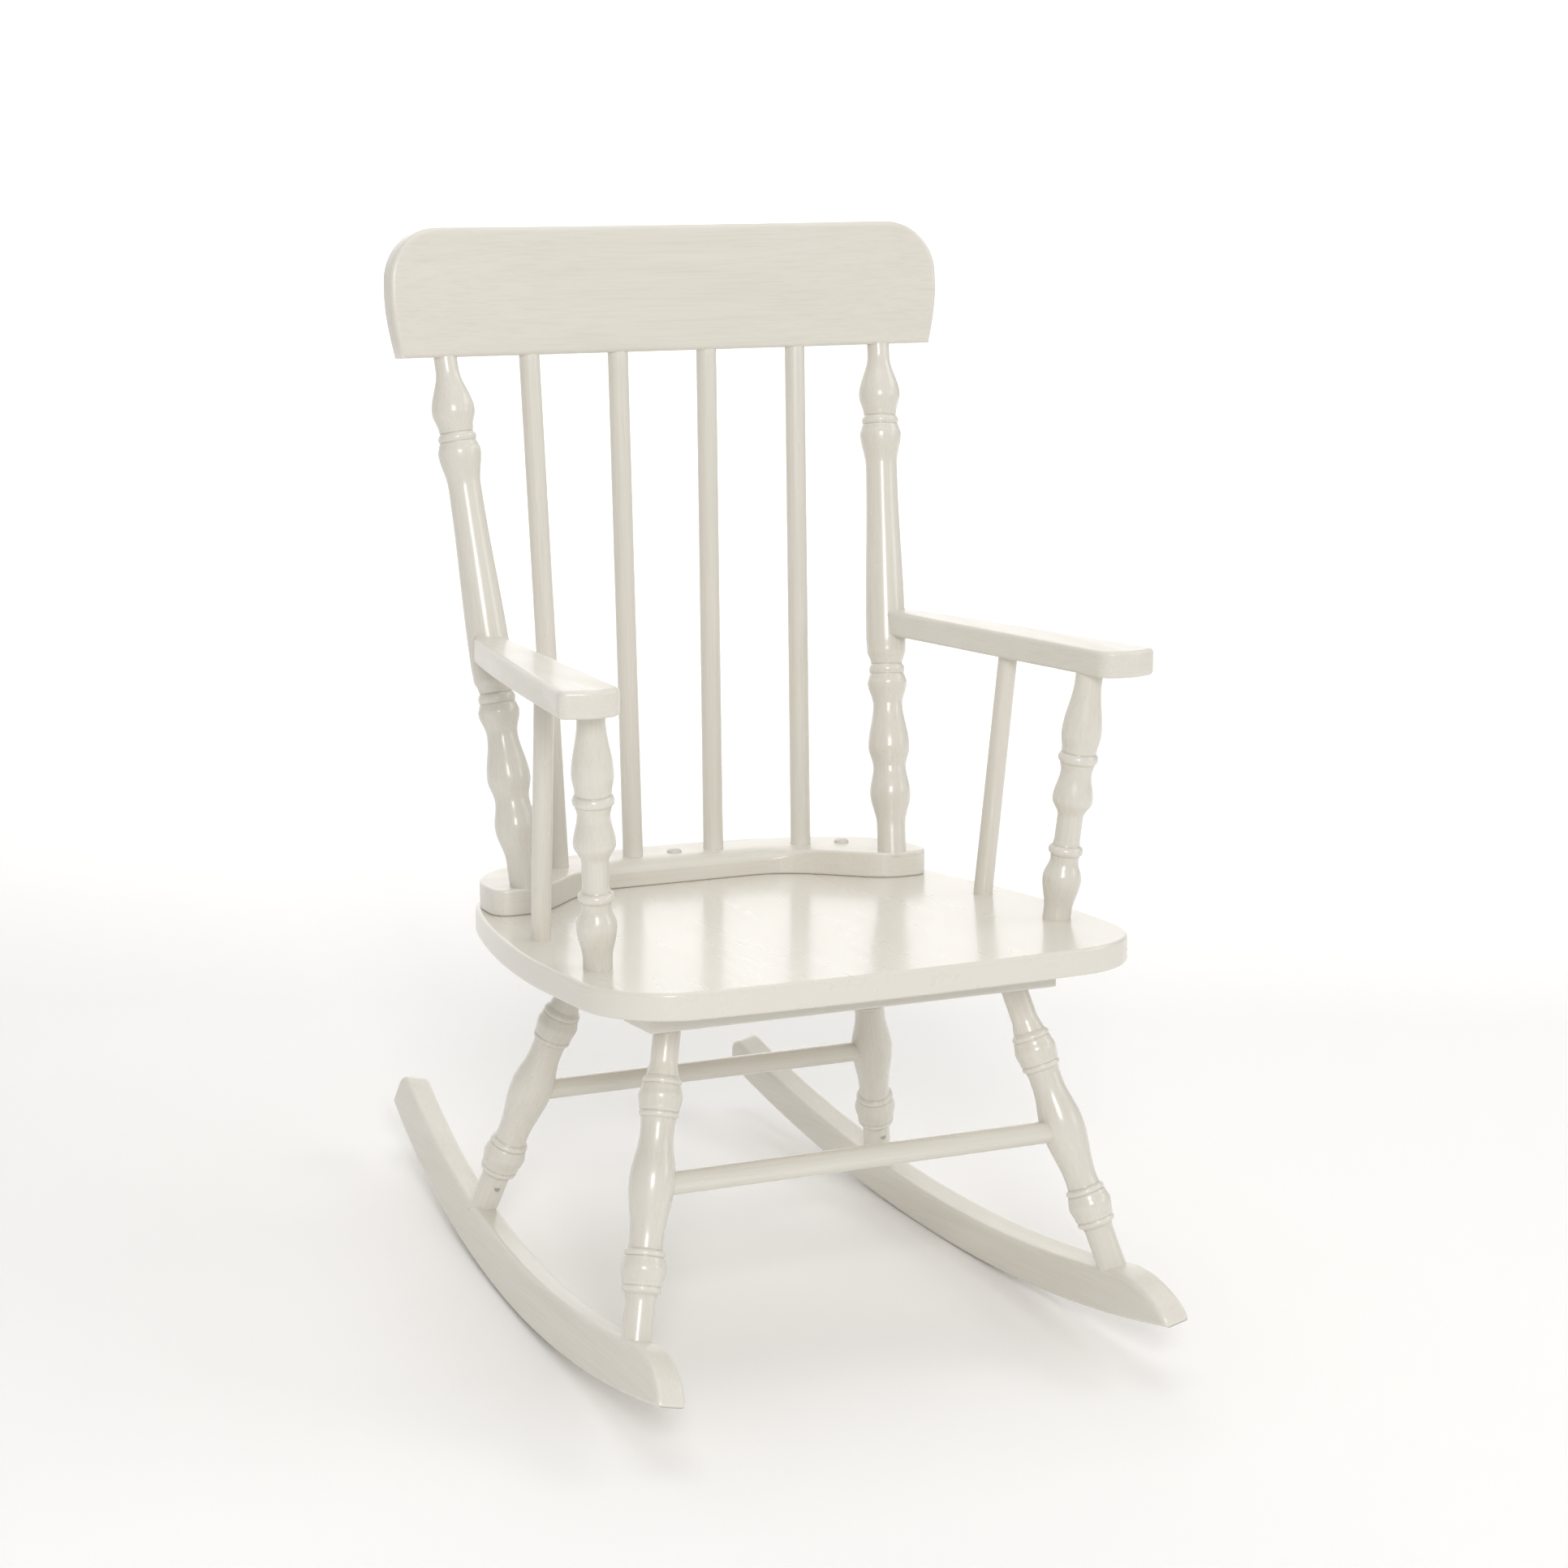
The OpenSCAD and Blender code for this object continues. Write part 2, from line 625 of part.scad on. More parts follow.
// ---- Back ----

module crest_rail() {
    color(paint)
        difference() {
            in_crest_frame()
                intersection() {
                    rotate([90, 0, 0])
                        linear_extrude(big, center = true)
                            crest_outline();
                    translate([0, -crest_r, -1])
                        difference() {
                            cylinder(r = crest_r + crest_t / 2, h = crest_h + 2, $fn = bow_fn);
                            translate([0, 0, -1])
                                cylinder(r = crest_r - crest_t / 2, h = crest_h + 4, $fn = bow_fn);
                        }
                }
            for (left = [true, false])
                on_side(left)
                    tenon(post_head, post_foot, post_tenon_d, tenon_depth, glue_fit);
            for (i = [0:spindle_count - 1])
                tenon(spindle_head(i), spindle_foot(i), spindle_tenon_d, tenon_depth, glue_fit);
        }
}

module back_post(left) {
    color(paint)
        on_side(left)
            difference() {
                union() {
                    difference() {
                        turned(post_turning, post_head, post_foot);
                        below(rail_top + face_gap);
                        in_crest_frame()
                            above(-face_gap);
                    }
                    tenon(post_head, post_foot, post_tenon_d, tenon_depth);
                    tenon(post_foot, post_head, post_tenon_d, rail_t + tenon_depth);
                }
                arm_screw(glue_fit);
                arm_plug_hole();
            }
}

// Spindle i, counted from the sitter's right to left
function spindle_place(i) = 2 * i / (spindle_count - 1) - 1;
function spindle_foot(i) =
    let (x = (post_foot.x - spindle_foot_gap) * spindle_place(i))
    [x, rail_cy + sqrt(pow(rail_r - spindle_setback, 2) - x * x), rail_top];
function spindle_head(i) = on_crest((post_head.x - spindle_head_gap) * spindle_place(i));

module back_spindle(i) {
    foot = spindle_foot(i);
    head = spindle_head(i);
    color(paint) {
        difference() {
            stick(foot, head, spindle_d, cut_over);
            below(rail_top + face_gap);
            in_crest_frame()
                above(-face_gap);
        }
        tenon(foot, head, spindle_tenon_d, tenon_depth);
        tenon(head, foot, spindle_tenon_d, tenon_depth);
    }
}

// ---- Arms ----

module arm(left) {
    color(paint)
        on_side(left)
            difference() {
                translate([0, 0, arm_under])
                    linear_extrude(arm_t)
                        arm_outline();
                stick(post_foot, post_head, 2 * (arm_post_r + face_gap));
                tenon(arm_post_head, arm_post_foot, leg_tenon_d, tenon_depth, glue_fit);
                tenon(arm_spindle_head, arm_spindle_foot, spindle_tenon_d, tenon_depth, glue_fit);
                arm_screw(glue_fit);
            }
}

module arm_post(left) {
    color(paint)
        on_side(left) {
            difference() {
                turned(arm_post_turning, arm_post_head, arm_post_foot);
                above(arm_under - face_gap);
                below(seat_h + face_gap);
            }
            tenon(arm_post_head, arm_post_foot, leg_tenon_d, tenon_depth);
            tenon(arm_post_foot, arm_post_head, leg_tenon_d, tenon_depth);
        }
}

module arm_spindle(left) {
    color(paint)
        on_side(left) {
            difference() {
                stick(arm_spindle_foot, arm_spindle_head, arm_spindle_d, cut_over);
                above(arm_under - face_gap);
                below(seat_h + face_gap);
            }
            tenon(arm_spindle_head, arm_spindle_foot, spindle_tenon_d, tenon_depth);
            tenon(arm_spindle_foot, arm_spindle_head, spindle_tenon_d, tenon_depth);
        }
}

// ---- Legs ----

module cleat(y, leg_head, leg_foot) {
    half = leg_head.x + cleat_reach;
    color(paint)
        difference() {
            translate([-half, y - cleat_w / 2, cleat_under])
                cube([2 * half, cleat_w, cleat_t]);
            for (left = [true, false])
                on_side(left)
                    tenon(leg_head, leg_foot, leg_tenon_d, tenon_depth, glue_fit);
            cleat_screw_set(glue_fit);
        }
}

module leg(left, head, foot, stretcher_end, stretcher_d) {
    color(paint)
        on_side(left)
            difference() {
                union() {
                    difference() {
                        turned(leg_turning, head, foot);
                        above(cleat_under - face_gap);
                        rocker_slab(4 * rocker_t, face_gap);
                        stretcher_socket(stretcher_end, stretcher_d);
                    }
                    tenon(head, foot, leg_tenon_d, tenon_depth);
                    tenon(foot, head, leg_tenon_d, tenon_depth);
                }
                leg_brad(glue_fit);
            }
}

// Socket in a leg, open towards the other leg
module stretcher_socket(end, d) {
    translate(end - [3 * stretcher_depth, 0, 0])
        rotate([0, 90, 0])
            cylinder(d = d + 2 * glue_fit, h = 3 * stretcher_depth - drill_over);
}

// Straight stick between the two legs, let into each one short of the leg's axis
module stretcher(end, d) {
    half = end.x - 2 * drill_over;
    color(paint)
        stick([-half, end.y, end.z], [half, end.y, end.z], d);
}

module rocker(left) {
    color(paint)
        on_side(left)
            difference() {
                rocker_slab(rocker_t);
                tenon(front_leg_foot, front_leg_head, leg_tenon_d, tenon_depth, glue_fit);
                tenon(rear_leg_foot, rear_leg_head, leg_tenon_d, tenon_depth, glue_fit);
            }
}

// ---- Fixings ----

module rail_screw_set(fit = 0) {
    for (place = rail_plug_places)
        translate([place.x, place.y, rail_top - plug_sink - 2 * face_gap])
            mirror([0, 0, 1])
                screw(rail_screw_l, fit);
}

module rail_plugs() {
    color(paint)
        for (place = rail_plug_places)
            translate([place.x, place.y, rail_top - plug_sink])
                plug(plug_rise);
}

module cleat_screw_set(fit = 0) {
    for (x = [-cleat_screw_half, cleat_screw_half], y = [front_cleat_y, rear_cleat_y])
        translate([x, y, cleat_under + cleat_screw_sink]) {
            screw(cleat_screw_l, fit);
            if (fit > 0)
                translate([0, 0, -2 * cleat_screw_sink])
                    cylinder(r = screw_head.x + fit, h = 2 * cleat_screw_sink + fit);
        }
}

// Screw through the back post into the end of the arm, from behind
module arm_screw(fit = 0) {
    translate(arm_screw_axis + [0, arm_post_r - arm_screw_sink, 0])
        rotate([90, 0, 0])
            screw(arm_screw_l, fit);
}

module arm_plug_hole() {
    translate(arm_screw_axis + [0, arm_post_r - arm_screw_sink, 0])
        rotate([-90, 0, 0])
            cylinder(r = plug_stub_r + glue_fit, h = 2 * arm_screw_sink);
}

module arm_plugs() {
    color(paint)
        for (left = [true, false])
            on_side(left)
                translate(arm_screw_axis + [0, arm_post_r - arm_screw_sink + face_gap, 0])
                    rotate([-90, 0, 0])
                        cylinder(r = plug_stub_r, h = arm_screw_sink + arm_plug_rise);
}

// Brad through the lower neck of a rear leg, with its head to the front
module leg_brad(fit = 0) {
    place = down_member(rear_leg_foot, rear_leg_head, brad_rise);
    translate(place + [0, -leg_neck_r, 0])
        rotate([-90, 0, 0]) {
            cylinder(r = brad.x + fit, h = brad.z + fit);
            translate([0, 0, -brad_head_h])
                cylinder(r = brad.y, h = 2 * brad_head_h + fit);
        }
}

at_rest() seat_board();
at_rest() back_rail();
at_rest() crest_rail();
at_rest() back_post(true);  // back_post_left
at_rest() back_post(false);  // back_post_right
at_rest() back_spindle(0);  // back_spindle_1
at_rest() back_spindle(1);  // back_spindle_2
at_rest() back_spindle(2);  // back_spindle_3
at_rest() back_spindle(3);  // back_spindle_4
at_rest() arm(true);  // arm_left
at_rest() arm(false);  // arm_right
at_rest() arm_post(true);  // arm_post_left
at_rest() arm_post(false);  // arm_post_right
at_rest() arm_spindle(true);  // arm_spindle_left
at_rest() arm_spindle(false);  // arm_spindle_right
at_rest() cleat(front_cleat_y, front_leg_head, front_leg_foot);  // front_cleat
at_rest() cleat(rear_cleat_y, rear_leg_head, rear_leg_foot);  // rear_cleat
at_rest() leg(true, front_leg_head, front_leg_foot, front_stretcher_end, front_stretcher_d);  // front_leg_left
at_rest() leg(false, front_leg_head, front_leg_foot, front_stretcher_end, front_stretcher_d);  // front_leg_right
at_rest() leg(true, rear_leg_head, rear_leg_foot, rear_stretcher_end, rear_stretcher_d);  // rear_leg_left
at_rest() leg(false, rear_leg_head, rear_leg_foot, rear_stretcher_end, rear_stretcher_d);  // rear_leg_right
at_rest() stretcher(front_stretcher_end, front_stretcher_d);  // front_stretcher
at_rest() stretcher(rear_stretcher_end, rear_stretcher_d);  // rear_stretcher
at_rest() rocker(true);  // rocker_left
at_rest() rocker(false);  // rocker_right
at_rest() color(steel) rail_screw_set();  // rail_screws
at_rest() rail_plugs();
at_rest() color(steel) cleat_screw_set();  // cleat_screws
at_rest() color(steel) for (left = [true, false]) on_side(left) arm_screw();  // arm_screws
at_rest() arm_plugs();
at_rest() color(steel) for (left = [true, false]) on_side(left) leg_brad();  // leg_brads
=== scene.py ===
"""Looks of a child's spindle-back rocking chair in turned and painted wood.

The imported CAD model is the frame. Each visible piece is rebuilt here with eased edges and fine
turnings in exactly the place where the frame has it, and is given its painted finish.
"""

import logging
import math
from collections.abc import Sequence
from dataclasses import dataclass, field
from enum import Enum

import bmesh
import bpy
from mathutils import Matrix, Vector


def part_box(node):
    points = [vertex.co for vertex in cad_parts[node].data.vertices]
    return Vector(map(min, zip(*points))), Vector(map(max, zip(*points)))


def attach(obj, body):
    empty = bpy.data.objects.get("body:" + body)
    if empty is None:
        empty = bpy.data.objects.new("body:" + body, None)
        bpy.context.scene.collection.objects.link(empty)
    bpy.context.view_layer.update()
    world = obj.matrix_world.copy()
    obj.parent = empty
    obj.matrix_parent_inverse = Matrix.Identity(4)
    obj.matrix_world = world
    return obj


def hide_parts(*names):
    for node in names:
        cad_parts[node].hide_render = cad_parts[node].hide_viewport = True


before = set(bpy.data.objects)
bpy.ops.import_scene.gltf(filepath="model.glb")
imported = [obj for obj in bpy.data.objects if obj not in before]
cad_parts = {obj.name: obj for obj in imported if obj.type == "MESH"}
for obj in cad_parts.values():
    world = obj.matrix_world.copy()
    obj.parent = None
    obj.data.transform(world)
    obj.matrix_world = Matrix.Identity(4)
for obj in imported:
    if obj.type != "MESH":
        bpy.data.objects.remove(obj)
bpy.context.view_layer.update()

LOG = logging.getLogger("rocking_chair")
MM = 0.001
BODY = "root"
BOARD_SLOT = "painted_board"
TURNING_SLOT = "painted_turning"
GRAIN = "wood_grain"
# Flat ring inside a board's eased edge, and the width of the strips that its face is cut in.
CAP_RIM = 1.6
CAP_PITCH = 12.0
# Points closer together than this, or than twice this on a board's rings, are one.
WELD = 0.01
# How much of an inset a point must keep from the outline, and the sharpest mitre it may take.
INSET_KEPT = 0.985
MITRE_LEAST = 0.6
# Longest step along a turned profile and the most steps between two stations.
TURN_PITCH = 1.2
TURN_STEPS = 16
# Facets round a stick, points along it, and the grain's shift from one stick to the next.
STICK_SIDES = 56
STICK_STEPS = 48
STICK_SHIFT = 0.37

Point2 = tuple[float, float]
Point3 = tuple[float, float, float]
Pair = tuple[float, float]
Stations = Sequence[Point2]


class Side(Enum):
    """Side of the chair, as its sitter sees it. The value is the sign of X."""

    LEFT = 1
    RIGHT = -1

    @property
    def word(self) -> str:
        """The side's word, as the frame's node names use it."""
        return self.name.lower()


class GrainRun(Enum):
    """Axis of a board's own frame along which its grain runs. The value is the axis's number."""

    ACROSS = 0
    LENGTHWISE = 1


# ---- Sizes -------------------------------------------------------------------------------


@dataclass(frozen=True)
class ChairSizes:
    """Sizes that the sub-assemblies share, in millimetres and degrees, with the seat level."""

    half_w: float = 197.0
    seat_d: float = 371.0
    seat_h: float = 265.0
    seat_t: float = 18.0
    rail_t: float = 18.0
    arm_rise: float = 187.0
    arm_t: float = 18.0
    crest_rise: float = 371.0
    crest_setback: float = 16.0
    crest_lean: float = 4.5
    crest_bow: float = 14.5
    crest_reach: float = 4.5
    crest_flare: float = 6.5
    cleat_t: float = 20.0
    rest_lean: float = 6.55

    @property
    def rail_top(self) -> float:
        """Height of the back rail's top."""
        return self.seat_h + self.rail_t

    @property
    def arm_under(self) -> float:
        """Height of the arms' underside."""
        return self.seat_h + self.arm_rise - self.arm_t

    @property
    def cleat_under(self) -> float:
        """Height of the cleats' underside."""
        return self.seat_h - self.seat_t - self.cleat_t

    @property
    def crest_r(self) -> float:
        """Radius of the crest rail's bow."""
        return bow_radius(self.half_w + self.crest_reach + self.crest_flare, self.crest_bow)

    def on_crest(self, x: float) -> Vector:
        """Middle of the crest rail's lower face at a distance from the centre line.

        Args:
            x: Distance from the centre line.

        Returns:
            The point, in the level chair.
        """
        sweep = math.sqrt(self.crest_r**2 - x * x) - self.crest_r
        lean = math.radians(self.crest_lean)
        return Vector((x, self.seat_d - self.crest_setback + sweep * math.cos(lean),
                       self.seat_h + self.crest_rise - sweep * math.sin(lean)))


@dataclass(frozen=True)
class RockerSizes:
    """Sizes of the rockers and of the arc they run on, in millimetres and degrees."""

    run_r: float = 1000.0
    thick: float = 19.5
    depth_front: float = 34.0
    depth_rear: float = 28.0
    low_y: float = 138.0
    front_foot_y: float = 27.0
    rear_foot_y: float = 322.0
    nose: float = 67.0
    tail: float = 197.0
    inset: float = 12.8
    cant: float = 11.6
    toe: float = 3.3
    nose_roll: float = 52.0
    nose_pull: float = 27.0
    nose_lip: float = 13.0
    tail_corner_r: float = 11.0

    def angle_of(self, length: float) -> float:
        """Angle that a length takes along the running edge, in radians."""
        return length / self.run_r

    def foot_angle(self, y: float) -> float:
        """Angle of a leg's foot that stands at a distance behind the seat's front edge."""
        along = y / math.cos(math.radians(self.toe)) - self.low_y
        return math.asin(along / (self.run_r - self.depth_front))

    @property
    def nose_a(self) -> float:
        """Angle of the nose's lower corner."""
        return self.foot_angle(self.front_foot_y) - self.angle_of(self.nose)

    @property
    def tail_a(self) -> float:
        """Angle of the rear end."""
        return self.foot_angle(self.rear_foot_y) + self.angle_of(self.tail)

    def depth(self, angle: float) -> float:
        """Depth of the rocker at an angle."""
        share = (angle - self.nose_a) / (self.tail_a - self.nose_a)
        return lerp(self.depth_front, self.depth_rear, share)

    def arc_point(self, angle: float, depth: float) -> Point2:
        """Point of the rocker's plane, as along and up, at an angle and a depth from its edge."""
        r = self.run_r - depth
        return (self.low_y + r * math.sin(angle), self.run_r - r * math.cos(angle))

    def plane(self, half_w: float) -> Matrix:
        """Frame of the left rocker: X across its thickness, Y along it and Z up its slant.

        Args:
            half_w: Half the seat's width.

        Returns:
            The matrix from the rocker's frame to the level chair.
        """
        cant = math.radians(self.cant)
        base = Vector((half_w - self.inset, 0, self.thick / 2 * math.sin(cant)))
        turn = Matrix.Rotation(math.radians(self.toe), 4, "Z")
        return Matrix.Translation(base) @ turn @ Matrix.Rotation(-cant, 4, "Y")

    def foot(self, angle: float, half_w: float) -> Vector:
        """Middle of the left rocker's top at an angle, in the level chair."""
        along, up = self.arc_point(angle, self.depth(angle))
        return self.plane(half_w) @ Vector((0, along, up))


def rest_matrix(sizes: ChairSizes, rockers: RockerSizes) -> Matrix:
    """Leans the level chair back to where it rests on the arc of its rockers.

    Args:
        sizes: The chair's sizes.
        rockers: The rockers' sizes.

    Returns:
        The matrix from millimetres in the level chair to metres in the frame.
    """
    lean = math.radians(sizes.rest_lean)
    cant = math.radians(rockers.cant)
    toe = math.radians(rockers.toe)
    slope = -math.cos(toe) * math.sin(lean)
    rise = math.cos(cant) * math.cos(lean) + math.sin(toe) * math.sin(cant) * math.sin(lean)
    along, up = rockers.arc_point(math.atan2(-slope, rise), 0)
    low = rockers.plane(sizes.half_w) @ Vector((-rockers.thick / 2, along, up))
    turned = Matrix.Rotation(-lean, 4, "X")
    low = turned @ low
    return Matrix.Scale(MM, 4) @ Matrix.Translation((0, -low.y, -low.z)) @ turned


# ---- Outlines ----------------------------------------------------------------------------


def lerp(a: float, b: float, t: float) -> float:
    """Value a share t of the way from a to b."""
    return a + (b - a) * t


def smooth(t: float) -> float:
    """Smooth step from 0 to 1 as t goes from 0 to 1."""
    t = min(1.0, max(0.0, t))
    return t * t * (3 - 2 * t)


def bow_radius(half: float, bow: float) -> float:
    """Radius of an arc whose chord is twice half and whose middle stands out by bow."""
    return (half * half + bow * bow) / (2 * bow)


def arc(centre: Point2, r: float, start: float, end: float, steps: int = 20) -> list[Point2]:
    """Points of a circular arc.

    Args:
        centre: The arc's centre.
        r: Its radius.
        start: Angle of its first point, in radians.
        end: Angle of its last point.
        steps: Number of steps between them.

    Returns:
        The points, both ends among them.
    """
    angles = [lerp(start, end, i / steps) for i in range(steps + 1)]
    return [(centre[0] + r * math.cos(a), centre[1] + r * math.sin(a)) for a in angles]


def curve(a: Point2, b: Point2, c: Point2, d: Point2, steps: int = 24) -> list[Point2]:
    """Points of a cubic curve from a to d with the handles b and c."""
    points = []
    for i in range(steps + 1):
        t = i / steps
        w = ((1 - t) ** 3, 3 * t * (1 - t) ** 2, 3 * t * t * (1 - t), t**3)
        points.append((w[0] * a[0] + w[1] * b[0] + w[2] * c[0] + w[3] * d[0],
                       w[0] * a[1] + w[1] * b[1] + w[2] * c[1] + w[3] * d[1]))
    return points


def rounded(before: Point2, tip: Point2, after: Point2, r: float, steps: int = 12) -> list[Point2]:
    """Points that round the corner at tip between two straight edges.

    Args:
        before: A point on the edge that comes to the corner.
        tip: The corner.
        after: A point on the edge that leaves it.
        r: The rounding's radius.
        steps: Number of steps in the arc.

    Returns:
        The arc's points, from the first edge to the second.
    """
    t = Vector(tip)
    u = (Vector(before) - t).normalized()
    v = (Vector(after) - t).normalized()
    half = u.angle(v) / 2
    centre = t + (u + v).normalized() * (r / math.sin(half))
    p = t + u * (r / math.tan(half)) - centre
    q = t + v * (r / math.tan(half)) - centre
    start = math.atan2(p.y, p.x)
    sweep = math.atan2(q.y, q.x) - start
    sweep = (sweep + math.pi) % (2 * math.pi) - math.pi
    return arc((centre.x, centre.y), r, start, start + sweep, steps)


def both_sides(half: Sequence[Point2]) -> list[Point2]:
    """An outline that is the same on both sides of x = 0, from its half with x at least 0."""
    return list(half) + [(-x, y) for x, y in reversed(half) if x > 0]


def tidy_outline(points: Sequence[Point2], gap: float = 0.2) -> list[Point2]:
    """The outline counter-clockwise, without points that lie closer together than gap."""
    kept: list[Point2] = []
    for point in points:
        if not kept or math.dist(point, kept[-1]) > gap:
            kept.append(point)
    if math.dist(kept[0], kept[-1]) < gap:
        kept.pop()
    pairs = zip(kept, kept[1:] + kept[:1])
    area = sum(a[0] * b[1] - b[0] * a[1] for a, b in pairs)
    return kept if area > 0 else kept[::-1]


def edge_distance(point: Point2, outline: Sequence[Point2]) -> float:
    """Shortest distance from a point to the edge of an outline."""
    least = math.inf
    for (ax, ay), (bx, by) in zip(outline, list(outline[1:]) + [outline[0]]):
        dx, dy = bx - ax, by - ay
        share = ((point[0] - ax) * dx + (point[1] - ay) * dy) / (dx * dx + dy * dy)
        share = min(1.0, max(0.0, share))
        least = min(least, math.hypot(point[0] - ax - share * dx, point[1] - ay - share * dy))
    return least


def shrunk(outline: Sequence[Point2], inset: float) -> list[Point2]:
    """A counter-clockwise outline drawn in by an even distance, with as many points.

    Args:
        outline: The outline.
        inset: How far it is drawn in.

    Returns:
        The smaller outline. Where a corner is tighter than the inset, its points meet in one.
    """
    count = len(outline)
    moved: list[Point2] = []
    for i, (x, y) in enumerate(outline):
        a, b = outline[i - 1], outline[(i + 1) % count]
        d1 = Vector((x - a[0], y - a[1])).normalized()
        d2 = Vector((b[0] - x, b[1] - y)).normalized()
        n = Vector((-d1.y - d2.y, d1.x + d2.x))
        n = n.normalized() / max(MITRE_LEAST, math.cos(d1.angle(d2) / 2))
        moved.append((x + n.x * inset, y + n.y * inset))
    if inset <= 0:
        return moved
    good = [edge_distance(p, outline) > INSET_KEPT * inset for p in moved]
    first = good.index(True)
    i = first
    while i < first + count:
        if good[i % count]:
            i += 1
            continue
        end = i
        while not good[end % count]:
            end += 1
        p, q = moved[(i - 1) % count], moved[end % count]
        for k in range(i, end):
            moved[k % count] = ((p[0] + q[0]) / 2, (p[1] + q[1]) / 2)
        i = end
    return moved


# ---- Meshes ------------------------------------------------------------------------------


@dataclass
class Shape:
    """A mesh in a piece's own frame, in millimetres, and the run of its grain.

    The grain attribute holds the piece's own coordinates in metres, turned so that its Z runs
    along the grain. The finishes read it, so grain follows each piece however it is tilted.
    """

    mesh: bmesh.types.BMesh
    grain: GrainRun | None = None

    def place(self, name: str, matrix: Matrix, finish: bpy.types.Material,
              mirrored: bool = False) -> bpy.types.Object:
        """Makes the shape an object whose place is in its mesh.

        Args:
            name: The piece's name.
            matrix: From the piece's own frame to metres in the CAD frame.
            finish: The piece's material.
            mirrored: True for the mirror image on the sitter's right.

        Returns:
            The object, at the origin.
        """
        bm = self.mesh
        layer = bm.verts.layers.float_vector.new(GRAIN)
        for vert in bm.verts:
            x, y, z = vert.co * MM
            vert[layer] = {None: (x, y, z), GrainRun.ACROSS: (y, z, x),
                           GrainRun.LENGTHWISE: (z, x, y)}[self.grain]
        bm.transform(matrix)
        if mirrored:
            bm.transform(Matrix.Scale(-1, 4, (1, 0, 0)))
        bmesh.ops.remove_doubles(bm, verts=bm.verts, dist=WELD * MM)
        bmesh.ops.recalc_face_normals(bm, faces=bm.faces)
        for face in bm.faces:
            face.smooth = True
        mesh = bpy.data.meshes.new(name)
        bm.to_mesh(mesh)
        bm.free()
        mesh.materials.append(finish)
        piece = bpy.data.objects.new(name, mesh)
        bpy.context.scene.collection.objects.link(piece)
        return piece


def loft(bm: bmesh.types.BMesh, rings: Sequence[Sequence[bmesh.types.BMVert]]) -> None:
    """Joins rings of equally many vertices with faces, and closes the first and the last."""
    count = len(rings[0])
    for lower, upper in zip(rings, rings[1:]):
        for i in range(count):
            j = (i + 1) % count
            bm.faces.new((lower[i], lower[j], upper[j], upper[i]))
    bm.faces.new(rings[0][::-1])
    bm.faces.new(rings[-1])


def slab(outline: Sequence[Point2], low: float, high: float, ease: float,
         grain: GrainRun, steps: int = 5) -> Shape:
    """A flat board cut to an outline, with its edges eased to a quarter round.

    Args:
        outline: The board's outline.
        low: Height of its underside.
        high: Height of its top.
        ease: Radius of the eased edges.
        grain: The run of its grain.
        steps: Steps in each eased edge.

    Returns:
        The board's shape, with the outline in X and Y.
    """
    ring = tidy_outline(outline)
    bm = bmesh.new()
    turns = [math.pi / 2 * i / steps for i in range(steps + 1)]
    levels = [(ease + CAP_RIM, low)]
    levels += [(ease * (1 - math.sin(a)), low + ease * (1 - math.cos(a))) for a in turns]
    levels += [(ease * (1 - math.cos(a)), high - ease * (1 - math.sin(a))) for a in turns]
    levels.append((ease + CAP_RIM, high))
    rings = []
    for inset, z in levels:
        rings.append([bm.verts.new((x, y, z)) for x, y in shrunk(ring, inset)])
    loft(bm, rings)
    bmesh.ops.remove_doubles(bm, verts=bm.verts, dist=2 * WELD)
    shape = Shape(bm, grain)
    across = [x for x, _ in ring]
    return sliced(shape, 0, spread(min(across), max(across), CAP_PITCH))


def sliced(shape: Shape, axis: int, places: Sequence[float]) -> Shape:
    """Cuts a shape's faces along planes square to an axis, so that it can be bent."""
    normal = Vector((0, 0, 0))
    normal[axis] = 1
    for place in places:
        bm = shape.mesh
        geometry = list(bm.verts) + list(bm.edges) + list(bm.faces)
        bmesh.ops.bisect_plane(bm, geom=geometry, plane_co=normal * place, plane_no=normal)
    return shape


def spread(low: float, high: float, pitch: float) -> list[float]:
    """Even places between two ends, about a pitch apart."""
    count = max(2, round((high - low) / pitch))
    return [lerp(low, high, i / count) for i in range(1, count)]


def along(start: Vector, end: Vector) -> Matrix:
    """Frame of a member whose Z runs from its start to its end."""
    turn = (end - start).to_track_quat("Z", "Y")
    return Matrix.Translation(start) @ turn.to_matrix().to_4x4()


def revolved(profile: Sequence[Point2], sides: int) -> Shape:
    """A solid of revolution about Z, from the height and radius at each step of its profile."""
    bm = bmesh.new()
    turns = [2 * math.pi * i / sides for i in range(sides)]
    loft(bm, [[bm.verts.new((r * math.cos(a), r * math.sin(a), z)) for a in turns]
              for z, r in profile])
    return Shape(bm)


def turning(stations: Stations, length: float, over: float = 5.0, sides: int = 64) -> Shape:
    """A turned member about Z, eased between the crests and hollows of its profile.

    Args:
        stations: Distance from the head and radius at each crest and hollow.
        length: The member's length between its mating faces.
        over: How far it runs on into the pieces at its ends.
        sides: Number of facets round it.

    Returns:
        The member's shape, with its head at the origin.
    """
    stretch = length / stations[-1][0]
    places = [(p * stretch, r) for p, r in stations]
    places[0] = (-over, places[0][1])
    places[-1] = (length + over, places[-1][1])
    profile: list[Point2] = []
    for (p0, r0), (p1, r1) in zip(places, places[1:]):
        steps = max(2, min(TURN_STEPS, round(abs(p1 - p0) / TURN_PITCH)))
        for i in range(steps):
            t = i / steps
            profile.append((lerp(p0, p1, t), lerp(r0, r1, (1 - math.cos(math.pi * t)) / 2)))
    profile.append(places[-1])
    return revolved(profile, sides)


# ---- Finishes ----------------------------------------------------------------------------


